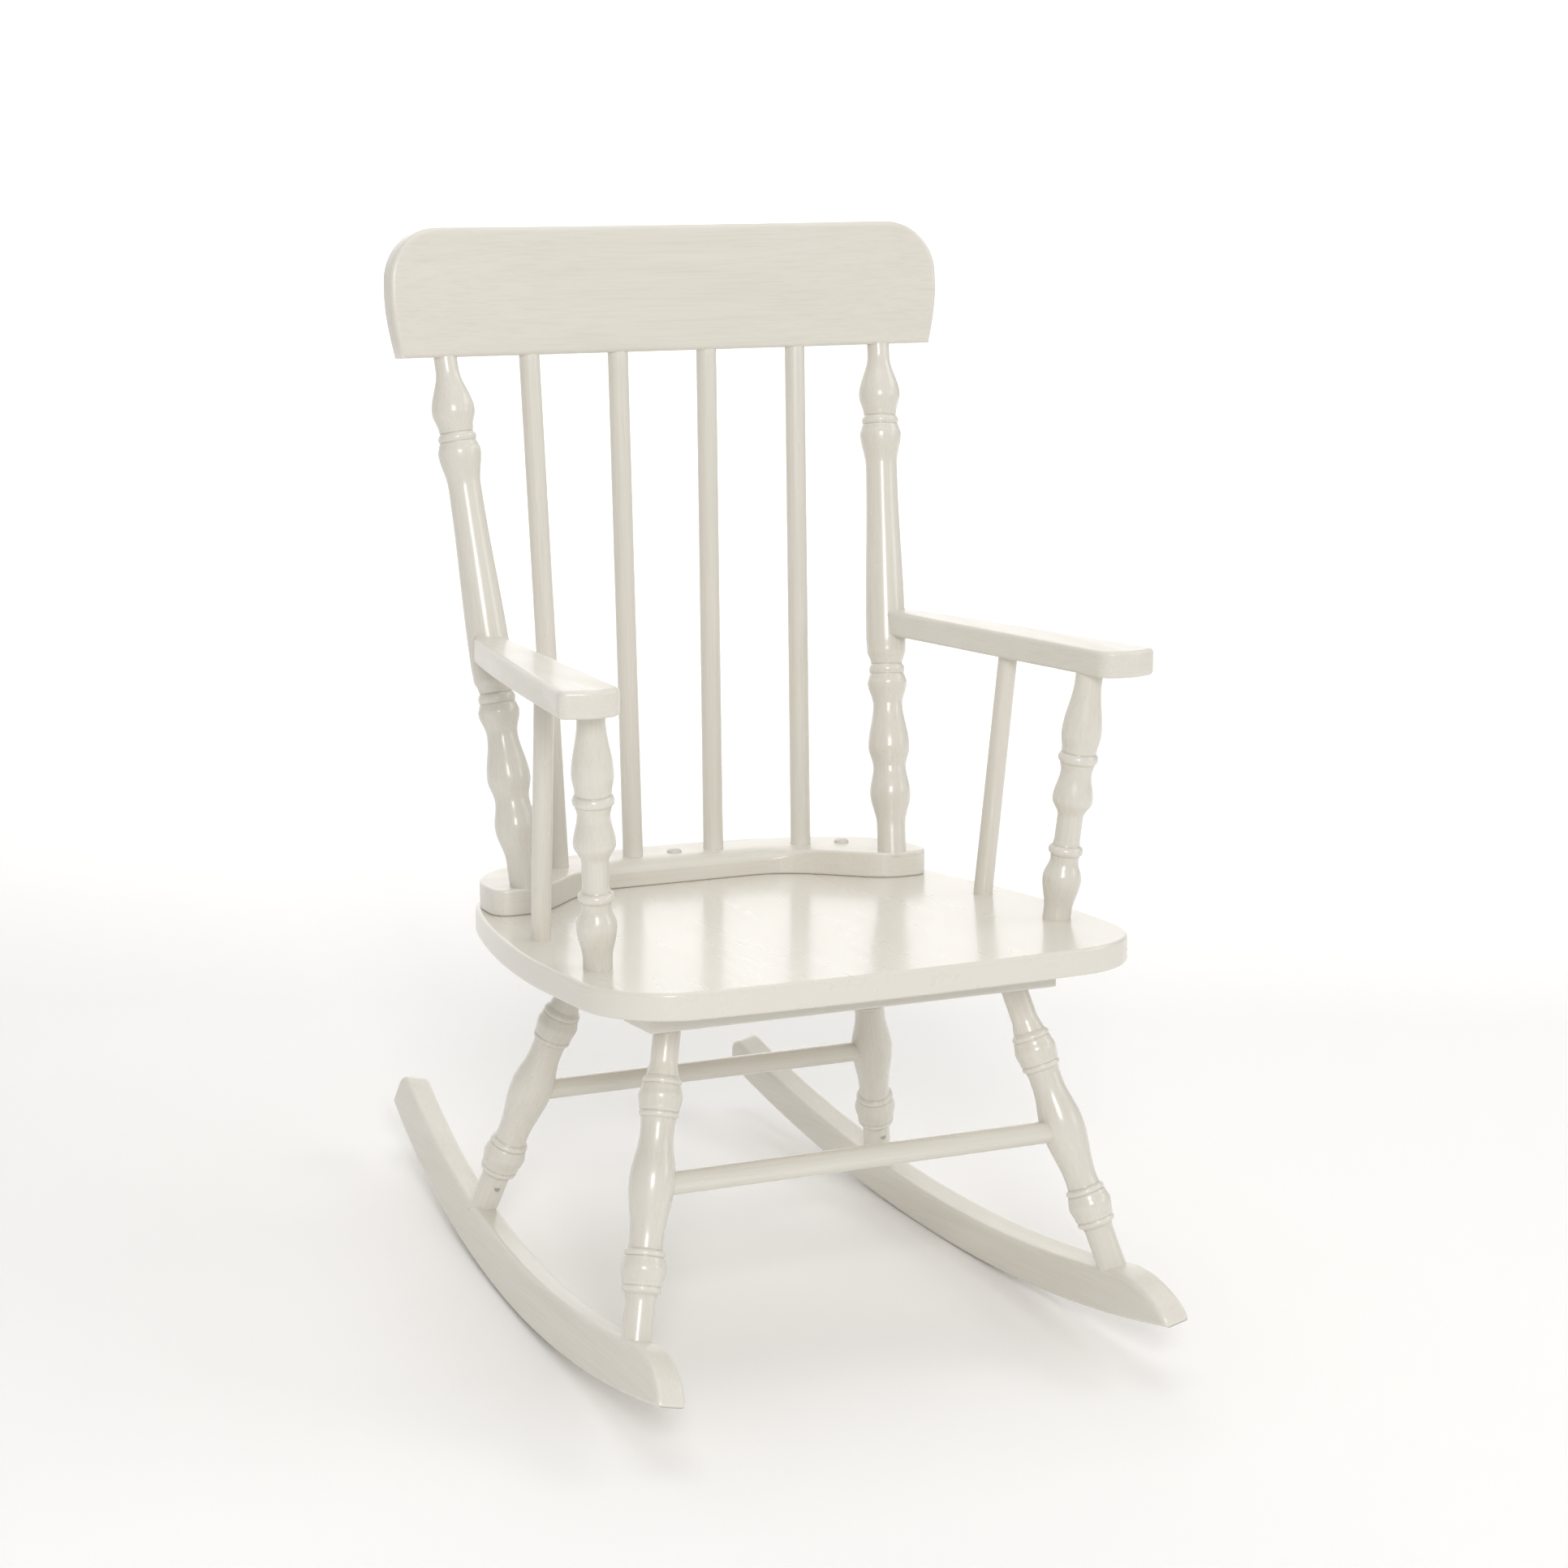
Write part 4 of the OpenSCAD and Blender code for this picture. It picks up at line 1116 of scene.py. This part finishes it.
@dataclass
class Back:
    """The crest rail, the two turned posts and the row of spindles."""

    shop: Workshop
    seat: Seat
    crest_h: float = 87.0
    crest_t: float = 18.0
    crest_corner_r: float = 37.0
    crest_ease: float = 4.0
    crest_pitch: float = 8.0
    flare_steps: int = 10
    spindle_count: int = 4
    spindle_d: float = 14.3
    spindle_foot_gap: float = 47.0
    spindle_head_gap: float = 64.0
    spindle_setback: float = 26.0
    post_foot_inset: float = 55.5
    post_foot_setback: float = 95.0
    post_head_inset: float = 31.0
    sunk: float = 4.0
    stations: Stations = (
        (0, 8), (8, 8), (36.5, 14.8), (50, 11.8), (51.2, 11.3), (52.4, 12.5), (54.6, 13.3),
        (56.4, 12.9), (57.4, 12.4), (58.6, 13.3), (64, 14.8), (87.5, 11.3), (210, 14.3),
        (219, 13.9), (227.2, 11.5), (228.6, 11), (229.8, 12.2), (232, 12.9), (234.4, 12.5),
        (235.6, 12), (236.8, 12.9), (241.5, 14.2), (257, 10.6),
        (287, 14.8), (301.8, 11.8), (320, 14.5), (343, 10.2), (361, 10.2))

    @property
    def post_foot(self) -> Vector:
        """Foot of the left back post, on the rail."""
        sizes = self.shop.sizes
        return Vector((sizes.half_w - self.post_foot_inset, sizes.seat_d - self.post_foot_setback,
                       sizes.rail_top))

    @property
    def post_head(self) -> Vector:
        """Head of the left back post, under the crest rail."""
        return self.shop.sizes.on_crest(self.shop.sizes.half_w - self.post_head_inset)

    def crest_outline(self) -> list[Point2]:
        """Front outline of the crest rail, in X and height."""
        sizes = self.shop.sizes
        half, flare, middle = sizes.half_w + sizes.crest_reach, sizes.crest_flare, self.crest_h / 2
        wide = half + flare
        shares = [i / self.flare_steps for i in range(1, self.flare_steps + 1)]
        side = [(half + flare * math.sin(math.pi / 2 * t), middle * t) for t in shares]
        return both_sides([(0, 0), (half, 0)] + side
                          + rounded((wide, middle), (wide - 1, self.crest_h), (0, self.crest_h),
                                    self.crest_corner_r, 24)
                          + [(0, self.crest_h)])

    def crest(self) -> None:
        """Builds the crest rail: cut flat, bent to its bow and leaned back."""
        shop, sizes = self.shop, self.shop.sizes
        shape = slab(self.crest_outline(), -self.crest_t / 2, self.crest_t / 2, self.crest_ease,
                     GrainRun.ACROSS, 6)
        wide = sizes.half_w + sizes.crest_reach + sizes.crest_flare
        sliced(shape, 0, spread(-wide, wide, self.crest_pitch))
        for vert in shape.mesh.verts:
            x, up, out = vert.co
            sweep = math.sqrt((sizes.crest_r - out) ** 2 - x * x) - sizes.crest_r
            vert.co = (x, sweep, up)
        lean = Matrix.Rotation(-math.radians(sizes.crest_lean), 4, "X")
        foot = Matrix.Translation((0, sizes.seat_d - sizes.crest_setback,
                                   sizes.seat_h + sizes.crest_rise))
        shop.add_board(shape, "bowed_crest_rail", shop.rest @ foot @ lean, "crest_rail")

    def spindle(self, i: int) -> tuple[Vector, Vector]:
        """Ends of a back spindle, run on into the rail and the crest.

        Args:
            i: The spindle's number, from the sitter's right.

        Returns:
            Its foot and its head.
        """
        place = 2 * i / (self.spindle_count - 1) - 1
        x = (self.post_foot.x - self.spindle_foot_gap) * place
        seat = self.seat
        y = seat.rail_cy + math.sqrt((seat.rail_r - self.spindle_setback) ** 2 - x * x)
        foot = Vector((x, y, self.shop.sizes.rail_top))
        head = self.shop.sizes.on_crest((self.post_head.x - self.spindle_head_gap) * place)
        step = (head - foot).normalized() * self.sunk
        return foot - step, head + step

    def build(self) -> None:
        """Builds the crest rail, the posts and the spindles."""
        self.crest()
        self.shop.turned_member("back_post", self.stations, self.post_head, self.post_foot)
        count = self.spindle_count
        self.shop.stick_row("back_spindle_row", [self.spindle(i) for i in range(count)],
                            self.spindle_d, [f"back_spindle_{i + 1}" for i in range(count)])


@dataclass
class Arms:
    """The two arms with their turned posts and plain spindles."""

    shop: Workshop
    back: Back
    front: float = 38.0
    reach: float = 18.0
    width: float = 42.0
    ease: float = 3.0
    # Setback of the inner and outer front corners, and the radii from the inner one outwards.
    front_taper: Pair = (6.0, 9.0)
    corner_r: tuple[float, float, float] = (12.0, 25.0, 7.0)
    # Points of the outer side: inset from its widest line and distance behind the front.
    side_aim: Point2 = (9.0, 66.0)
    side_start: Point2 = (2.5, 24.0)
    side_bend: Point2 = (11.0, 72.0)
    # Points near the back post: distance outwards from its middle and in front of it.
    side_waist: Point2 = (39.0, 115.0)
    rear_outer: Point2 = (16.5, 19.0)
    rear_inner: float = 7.0
    rear_heel: Point2 = (12.0, 3.0)
    post_foot: Point2 = (28.0, 94.0)
    post_head: Point2 = (16.0, 75.0)
    spindle_d: float = 13.3
    spindle_foot: Point2 = (30.0, 190.0)
    spindle_head: Point2 = (24.5, 168.0)
    stations: Stations = (
        (0, 9.2), (6, 9.2), (41, 13.6), (52.6, 11.9), (54, 11.5), (55.2, 12.8), (57.6, 13.6),
        (59.8, 13.2), (61, 11.8), (67, 10.6), (85.9, 13.7), (97.8, 8.7), (113.8, 8.7),
        (117.4, 9.3), (118.6, 11.1), (120.8, 11.8), (122.8, 11.2), (124, 9.9), (127, 9.5),
        (140, 13.1), (163, 9.5), (168.7, 9.5))

    def outline(self) -> list[Point2]:
        """Outline of the left arm, with its rear end against the back post."""
        outer_x = self.shop.sizes.half_w + self.reach
        inner_front = (outer_x - self.width, self.front + self.front_taper[0])
        middle_front = (outer_x - self.width / 2, self.front)
        outer_front = (outer_x, self.front + self.front_taper[1])
        foot, head = self.back.post_foot, self.back.post_head
        top = self.shop.sizes.arm_under + self.shop.sizes.arm_t
        post = foot.lerp(head, (top - foot.z) / (head.z - foot.z))
        inner_rear = (post.x - self.rear_inner, post.y)
        outer_rear = (post.x + self.rear_outer[0], post.y - self.rear_outer[1])
        aim, start, bend = ((outer_x - x, self.front + y)
                            for x, y in (self.side_aim, self.side_start, self.side_bend))
        waist = (post.x + self.side_waist[0], post.y - self.side_waist[1])
        return ([inner_rear] + rounded(inner_rear, inner_front, middle_front, self.corner_r[0])
                + rounded(inner_front, middle_front, outer_front, self.corner_r[1])
                + rounded(middle_front, outer_front, aim, self.corner_r[2])
                + curve(start, bend, waist, outer_rear)
                + [(post.x + self.rear_heel[0], post.y - self.rear_heel[1])])

    def at(self, place: Point2, z: float) -> Vector:
        """Point at an inset from the seat's side, a distance from its front edge and a height."""
        return Vector((self.shop.sizes.half_w - place[0], place[1], z))

    def build(self) -> None:
        """Builds the arms, their posts and their spindles."""
        shop, sizes = self.shop, self.shop.sizes
        under, top = sizes.arm_under, sizes.arm_under + sizes.arm_t
        for side in Side:
            shape = slab(self.outline(), under, top, self.ease, GrainRun.LENGTHWISE, 6)
            shop.add_board(shape, f"shaped_arm_{side.word}", shop.rest, f"arm_{side.word}", side)
        shop.turned_member("arm_post", self.stations, self.at(self.post_head, under),
                           self.at(self.post_foot, sizes.seat_h))
        foot, head = self.at(self.spindle_foot, sizes.seat_h), self.at(self.spindle_head, under)
        step = (head - foot).normalized() * self.back.sunk
        left = (foot - step, head + step)
        right = tuple(Vector((-p.x, p.y, p.z)) for p in left)
        shop.stick_row("arm_spindle_pair", [left, right], self.spindle_d,
                       ["arm_spindle_left", "arm_spindle_right"])


@dataclass
class Undercarriage:
    """The cleats, the four turned legs, the stretchers and the rockers."""

    shop: Workshop
    cleat_w: float = 42.0
    front_leg: Point2 = (70.0, 80.0)
    rear_leg: Point2 = (87.0, 256.0)
    cleat_reach: float = 22.0
    cleat_ease: float = 1.6
    rim_gap: float = 0.1
    front_stretcher: Point2 = (103.5, 15.0)
    rear_stretcher: Point2 = (101.0, 14.0)
    rocker_ease: float = 3.5
    run_steps: int = 90
    leg_over: float = 6.0
    stations: Stations = (
        (0, 8.9), (24, 8.9), (33, 10.4), (35.4, 12.5), (37, 12.8), (38.2, 12.1), (39.4, 12.8),
        (46, 14.2), (54.4, 13), (55.6, 12.3), (56.8, 13), (58.4, 12.8), (59.6, 11.3), (64, 10.8),
        (70, 10.8), (99.8, 14.7), (137, 10.8), (142.4, 11), (143.8, 12.9), (145.6, 13.2),
        (146.8, 12.3), (148, 13.2), (154.6, 14.6), (164, 12.9), (165.4, 12.1), (166.8, 12.8),
        (168.4, 12.4), (170.2, 10.2), (173, 9.6), (198, 9.6))

    def leg_ends(self, place: Point2, foot_y: float) -> tuple[Vector, Vector]:
        """Head and foot of a left leg.

        Args:
            place: The head's inset from the seat's side and distance from its front edge.
            foot_y: The foot's distance behind the seat's front edge.

        Returns:
            The head under its cleat, and the foot on the rocker.
        """
        shop = self.shop
        head = Vector((shop.sizes.half_w - place[0], place[1], shop.sizes.cleat_under))
        angle = shop.rockers.foot_angle(foot_y)
        return head, shop.rockers.foot(angle, shop.sizes.half_w)

    def cleat(self, node: str, place: Point2) -> None:
        """Builds a cleat with its screws' recesses, from the frame's own solid.

        Args:
            node: The cleat's CAD node.
            place: The inset and distance of the legs that it holds.
        """
        bm = bmesh.new()
        bm.from_mesh(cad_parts[node].data)
        bm.transform(self.shop.rest.inverted())
        bmesh.ops.remove_doubles(bm, verts=bm.verts, dist=WELD)
        bmesh.ops.dissolve_limit(bm, angle_limit=math.radians(1), verts=bm.verts, edges=bm.edges)
        half = self.shop.sizes.half_w - place[0] + self.cleat_reach
        rim = [e for e in bm.edges if len(e.link_faces) == 2 and e.calc_face_angle(0) > 1
               and all(self._on_rim(v.co, half, place[1]) for v in e.verts)]
        bmesh.ops.bevel(bm, geom=rim, offset=self.cleat_ease, segments=4, profile=0.5,
                        affect="EDGES", clamp_overlap=True)
        self.shop.add_board(Shape(bm, GrainRun.ACROSS), f"eased_{node}", self.shop.rest, node)

    def _on_rim(self, point: Vector, half: float, middle: float) -> bool:
        """True for a point on the cleat's outer sides."""
        return (abs(abs(point.x) - half) < self.rim_gap
                or abs(abs(point.y - middle) - self.cleat_w / 2) < self.rim_gap)

    def rocker_outline(self) -> list[Point2]:
        """Side of a rocker, as along and up."""
        rockers = self.shop.rockers
        nose_a, tail_a = rockers.nose_a, rockers.tail_a
        top_a = nose_a + rockers.angle_of(rockers.nose_roll)
        tail_a2 = tail_a - rockers.angle_of(2 * rockers.tail_corner_r)
        nose_low = rockers.arc_point(nose_a, 0)
        nose_top = rockers.arc_point(top_a, rockers.depth(top_a))
        shares = [i / self.run_steps for i in range(self.run_steps + 1)]
        under = [rockers.arc_point(lerp(nose_a, tail_a, t), 0) for t in shares]
        over = [rockers.arc_point(a, rockers.depth(a))
                for a in (lerp(tail_a2, top_a, t) for t in shares)]
        tail = rounded(under[-1], rockers.arc_point(tail_a, rockers.depth_rear), over[0],
                       rockers.tail_corner_r)
        pull, lip = rockers.nose_pull, rockers.nose_lip
        roll = curve(nose_top,
                     (nose_top[0] - pull * math.cos(top_a), nose_top[1] - pull * math.sin(top_a)),
                     (nose_low[0] - lip * math.sin(nose_a), nose_low[1] + lip * math.cos(nose_a)),
                     nose_low)
        return under + tail + over + roll

    def rocker(self, side: Side) -> None:
        """Builds one rocker, slanted and toed as the frame has it."""
        shop = self.shop
        half = shop.rockers.thick / 2
        shape = slab(self.rocker_outline(), -half, half, self.rocker_ease, GrainRun.ACROSS, 5)
        stand = Matrix(((0, 0, 1, 0), (1, 0, 0, 0), (0, 1, 0, 0), (0, 0, 0, 1)))
        matrix = shop.rest @ shop.rockers.plane(shop.sizes.half_w) @ stand
        shop.add_board(shape, f"curved_rocker_{side.word}", matrix, f"rocker_{side.word}", side)

    def build(self) -> None:
        """Builds the cleats, legs, stretchers and rockers."""
        shop, rockers = self.shop, self.shop.rockers
        front = self.leg_ends(self.front_leg, rockers.front_foot_y)
        rear = self.leg_ends(self.rear_leg, rockers.rear_foot_y)
        self.cleat("front_cleat", self.front_leg)
        self.cleat("rear_cleat", self.rear_leg)
        shop.turned_member("front_leg", self.stations, *front, over=self.leg_over)
        shop.turned_member("rear_leg", self.stations, *rear, over=self.leg_over)
        for name, (head, foot), (drop, d) in (("front_stretcher", front, self.front_stretcher),
                                              ("rear_stretcher", rear, self.rear_stretcher)):
            end = head + (foot - head).normalized() * drop
            other = Vector((-end.x, end.y, end.z))
            shop.stick_row(f"round_{name}", [(other, end)], d, [name])
        for side in Side:
            self.rocker(side)


@dataclass
class Fixings:
    """The button plugs on the rail, the plugs behind the posts, and the brads and screws."""

    shop: Workshop
    seat: Seat
    back: Back
    plug_r: float = 5.25
    plug_rise: float = 2.8
    flat_plug_r: float = 4.1
    flat_plug_rise: float = 1.2
    plug_dome: float = 2.1
    flat_plug_dome: float = 0.6
    sunk: float = 3.0
    sides: int = 32
    crown_steps: int = 8
    # Distance of the middle screw and of the side ones in front of the rail's rear.
    rail_screw_back: Pair = (29.0, 49.0)
    rail_screw_gap: float = 18.0
    arm_screw_out: float = 3.0
    post_r: float = 14.2

    def stud(self, name: str, r: float, rise: float, dome: float) -> bpy.types.Object:
        """A small turned button along Z, which the node tree repeats.

        Args:
            name: The object's name.
            r: Its radius.
            rise: Its height above the wood.
            dome: The part of that height that is domed.

        Returns:
            The object, which is taken away after use.
        """
        side = [(-self.sunk, r), (rise - dome, r)]
        crown = [(rise - dome + dome * math.sin(t), r * math.cos(t))
                 for t in (math.pi / 2 * i / self.crown_steps for i in range(1, self.crown_steps))]
        return revolved(side + crown, self.sides).place(name, Matrix.Scale(MM, 4),
                                                        self.shop.turned)

    def studs(self, name: str, shape: bpy.types.Object, spots: Sequence[tuple[Vector, Vector]],
              node: str) -> None:
        """Stands the shape on each spot in place of a CAD node.

        Args:
            name: The piece's name.
            shape: The small turned shape.
            spots: Each spot and the way it faces, in the level chair.
            node: The CAD node.
        """
        mesh = bpy.data.meshes.new(name + "_points")
        mesh.from_pydata([self.shop.rest @ p for p, _ in spots], [], [])
        aims = mesh.attributes.new("aim", "FLOAT_VECTOR", "POINT")
        turn = self.shop.rest.to_3x3()
        for item, (_, way) in zip(aims.data, spots):
            item.vector = (turn @ way).normalized()
        piece = self.shop.studs.bake(name, mesh, {"Shape": shape, "Finish": self.shop.plug})
        self.shop.settle(piece, TURNING_SLOT, node)

    def build(self) -> None:
        """Builds the plugs, and gives the frame's screws and brads their steel."""
        sizes, foot, head = self.shop.sizes, self.back.post_foot, self.back.post_head
        rear = sizes.seat_d - self.seat.margin
        top = sizes.rail_top
        up = Vector((0, 0, 1))
        side_x = foot.x - self.rail_screw_gap
        middle_back, side_back = self.rail_screw_back
        button = self.stud("button", self.plug_r, self.plug_rise, self.plug_dome)
        spots = [(Vector((x, rear - back, top)), up)
                 for x, back in ((0, middle_back), (side_x, side_back), (-side_x, side_back))]
        self.studs("domed_rail_plugs", button, spots, "rail_plugs")
        flat = self.stud("flat_plug", self.flat_plug_r, self.flat_plug_rise, self.flat_plug_dome)
        z = sizes.arm_under + sizes.arm_t / 2
        post = head.lerp(foot, (z - head.z) / (foot.z - head.z))
        behind = [(Vector((sign * (post.x + self.arm_screw_out), post.y + self.post_r, z)),
                   Vector((0, 1, 0))) for sign in (1, -1)]
        self.studs("post_plugs", flat, behind, "arm_plugs")
        for shape in (button, flat):
            bpy.data.objects.remove(shape)
        for node in ("rail_screws", "cleat_screws", "arm_screws", "leg_brads"):
            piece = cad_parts[node]
            piece.data.materials.clear()
            piece.data.materials.append(self.shop.steel)
            LOG.info("%s: steel on the frame's own mesh", node)


# ---- Studio ------------------------------------------------------------------------------


@dataclass(frozen=True)
class Lamp:
    """A square soft light: its place, side and power, and the point that it faces, in metres."""

    name: str
    place: Point3
    size: float
    watts: float
    aim: Point3 = (0.0, 0.0, 0.35)


@dataclass(frozen=True)
class Studio:
    """The pale sweep, the soft lights and the camera."""

    rest: Matrix
    azimuth: float = -26.8
    elevation: float = 9.93
    target: Point3 = (19.5, 211.6, 352.3)
    distance: float = 2600.0
    lens: float = 87.84
    shift: Point2 = (0.0028, -0.0018)
    sensor: float = 36.0
    clip: float = 50.0
    sweep_r: float = 1.2
    sweep_depth: float = 2.4
    sweep_half: float = 5.0
    sweep_front: float = -6.0
    sweep_top: float = 5.0
    sweep_steps: int = 24
    ambient: float = 0.46
    lamps: tuple[Lamp, ...] = (
        Lamp("key", (-1.3, -3.0, 2.0), 1.0, 48.0),
        Lamp("fill", (2.8, -2.2, 1.6), 1.0, 8.0),
        Lamp("top", (0.0, 0.2, 3.0), 2.4, 22.0),
        Lamp("backdrop", (1.3, 1.3, 2.6), 2.6, 80.0, (2.2, 3.6, 1.5)),
        Lamp("floor", (2.6, -0.6, 2.2), 1.4, 14.0, (2.2, -0.6, 0.0)))

    def camera(self) -> None:
        """Places the camera relative to the level chair and carries it with the chair's lean."""
        a, e = math.radians(self.azimuth), math.radians(self.elevation)
        right = Vector((math.cos(a), math.sin(a), 0))
        back = Vector((math.sin(a) * math.cos(e), -math.cos(a) * math.cos(e), math.sin(e)))
        up = back.cross(right)
        turn = Matrix((right, up, back)).transposed().to_4x4()
        spot = Matrix.Translation(Vector(self.target) + back * self.distance)
        place = self.rest @ spot @ turn
        data = bpy.data.cameras.new("camera")
        data.lens = self.lens
        data.sensor_width = self.sensor
        data.shift_x, data.shift_y = self.shift
        data.clip_end = self.clip
        camera = bpy.data.objects.new("camera", data)
        loc, rot, _ = place.decompose()
        camera.matrix_world = Matrix.Translation(loc) @ rot.to_matrix().to_4x4()
        bpy.context.scene.collection.objects.link(camera)
        bpy.context.scene.camera = camera

    def sweep(self) -> None:
        """Builds the floor that curves up behind the chair."""
        turns = [math.pi / 2 * i / self.sweep_steps for i in range(1, self.sweep_steps + 1)]
        line = [(self.sweep_front, 0.0), (self.sweep_depth, 0.0)]
        line += [(self.sweep_depth + self.sweep_r * math.sin(t), self.sweep_r * (1 - math.cos(t)))
                 for t in turns]
        line.append((self.sweep_depth + self.sweep_r, self.sweep_top))
        bm = bmesh.new()
        rows = [[bm.verts.new((x, y, z)) for x in (-self.sweep_half, self.sweep_half)]
                for y, z in line]
        for low, high in zip(rows, rows[1:]):
            bm.faces.new((low[0], low[1], high[1], high[0])).smooth = True
        mesh = bpy.data.meshes.new("sweep")
        bm.to_mesh(mesh)
        bm.free()
        mesh.materials.append(Backdrop().build())
        floor = bpy.data.objects.new("sweep", mesh)
        bpy.context.scene.collection.objects.link(floor)

    def hang(self, lamp: Lamp) -> None:
        """Hangs a soft light and turns it to what it faces."""
        data = bpy.data.lights.new(lamp.name, "AREA")
        data.size = lamp.size
        data.energy = lamp.watts
        light = bpy.data.objects.new(lamp.name, data)
        light.location = lamp.place
        way = Vector(lamp.aim) - Vector(lamp.place)
        light.rotation_euler = way.to_track_quat("-Z", "Y").to_euler()
        bpy.context.scene.collection.objects.link(light)

    def build(self) -> None:
        """Builds the camera, the sweep, the lights and the pale surroundings."""
        self.camera()
        self.sweep()
        for lamp in self.lamps:
            self.hang(lamp)
        world = bpy.data.worlds.new("studio")
        world.use_nodes = True
        glow = world.node_tree.nodes["Background"]
        glow.inputs["Color"].default_value = linear("#FFFEFC")
        glow.inputs["Strength"].default_value = self.ambient
        bpy.context.scene.world = world
        bpy.context.scene.view_settings.view_transform = "Standard"


def main() -> None:
    """Builds the chair around its frame, sub-assembly by sub-assembly."""
    logging.basicConfig(level=logging.INFO, format="%(message)s")
    sizes, rockers = ChairSizes(), RockerSizes()
    rest = rest_matrix(sizes, rockers)
    Studio(rest).build()
    # Boards, turnings and plugs keep the painted shade in grooves and painted highlight on crests;
    # the panel has neither.
    board = PaintedWood("enamelled_hardwood_board").build()
    panel = PaintedWood("enamelled_hardwood_panel", streak_share=0.05, relief=0.0,
                        gather=0.0, wear=0.0, patchy=0.01, coat=0.4, coat_roughness=0.14,
                        roughness=0.28).build()
    turned = PaintedWood("enamelled_hardwood_turning", coat=0.5, coat_roughness=0.12, roughness=0.3,
                         grain_width_mm=1.2).build()
    plug = PaintedWood("enamelled_plug", paint="#CBCABD", streak="#BDBBAC").build()
    shop = Workshop(sizes, rockers, rest, board, panel, turned, plug, ZincSteel().build(),
                    stick_rig(), stud_rig())
    seat = Seat(shop)
    back = Back(shop, seat)
    seat.build()
    back.build()
    Arms(shop, back).build()
    Undercarriage(shop).build()
    Fixings(shop, seat, back).build()


if __name__ == "__main__":
    main()
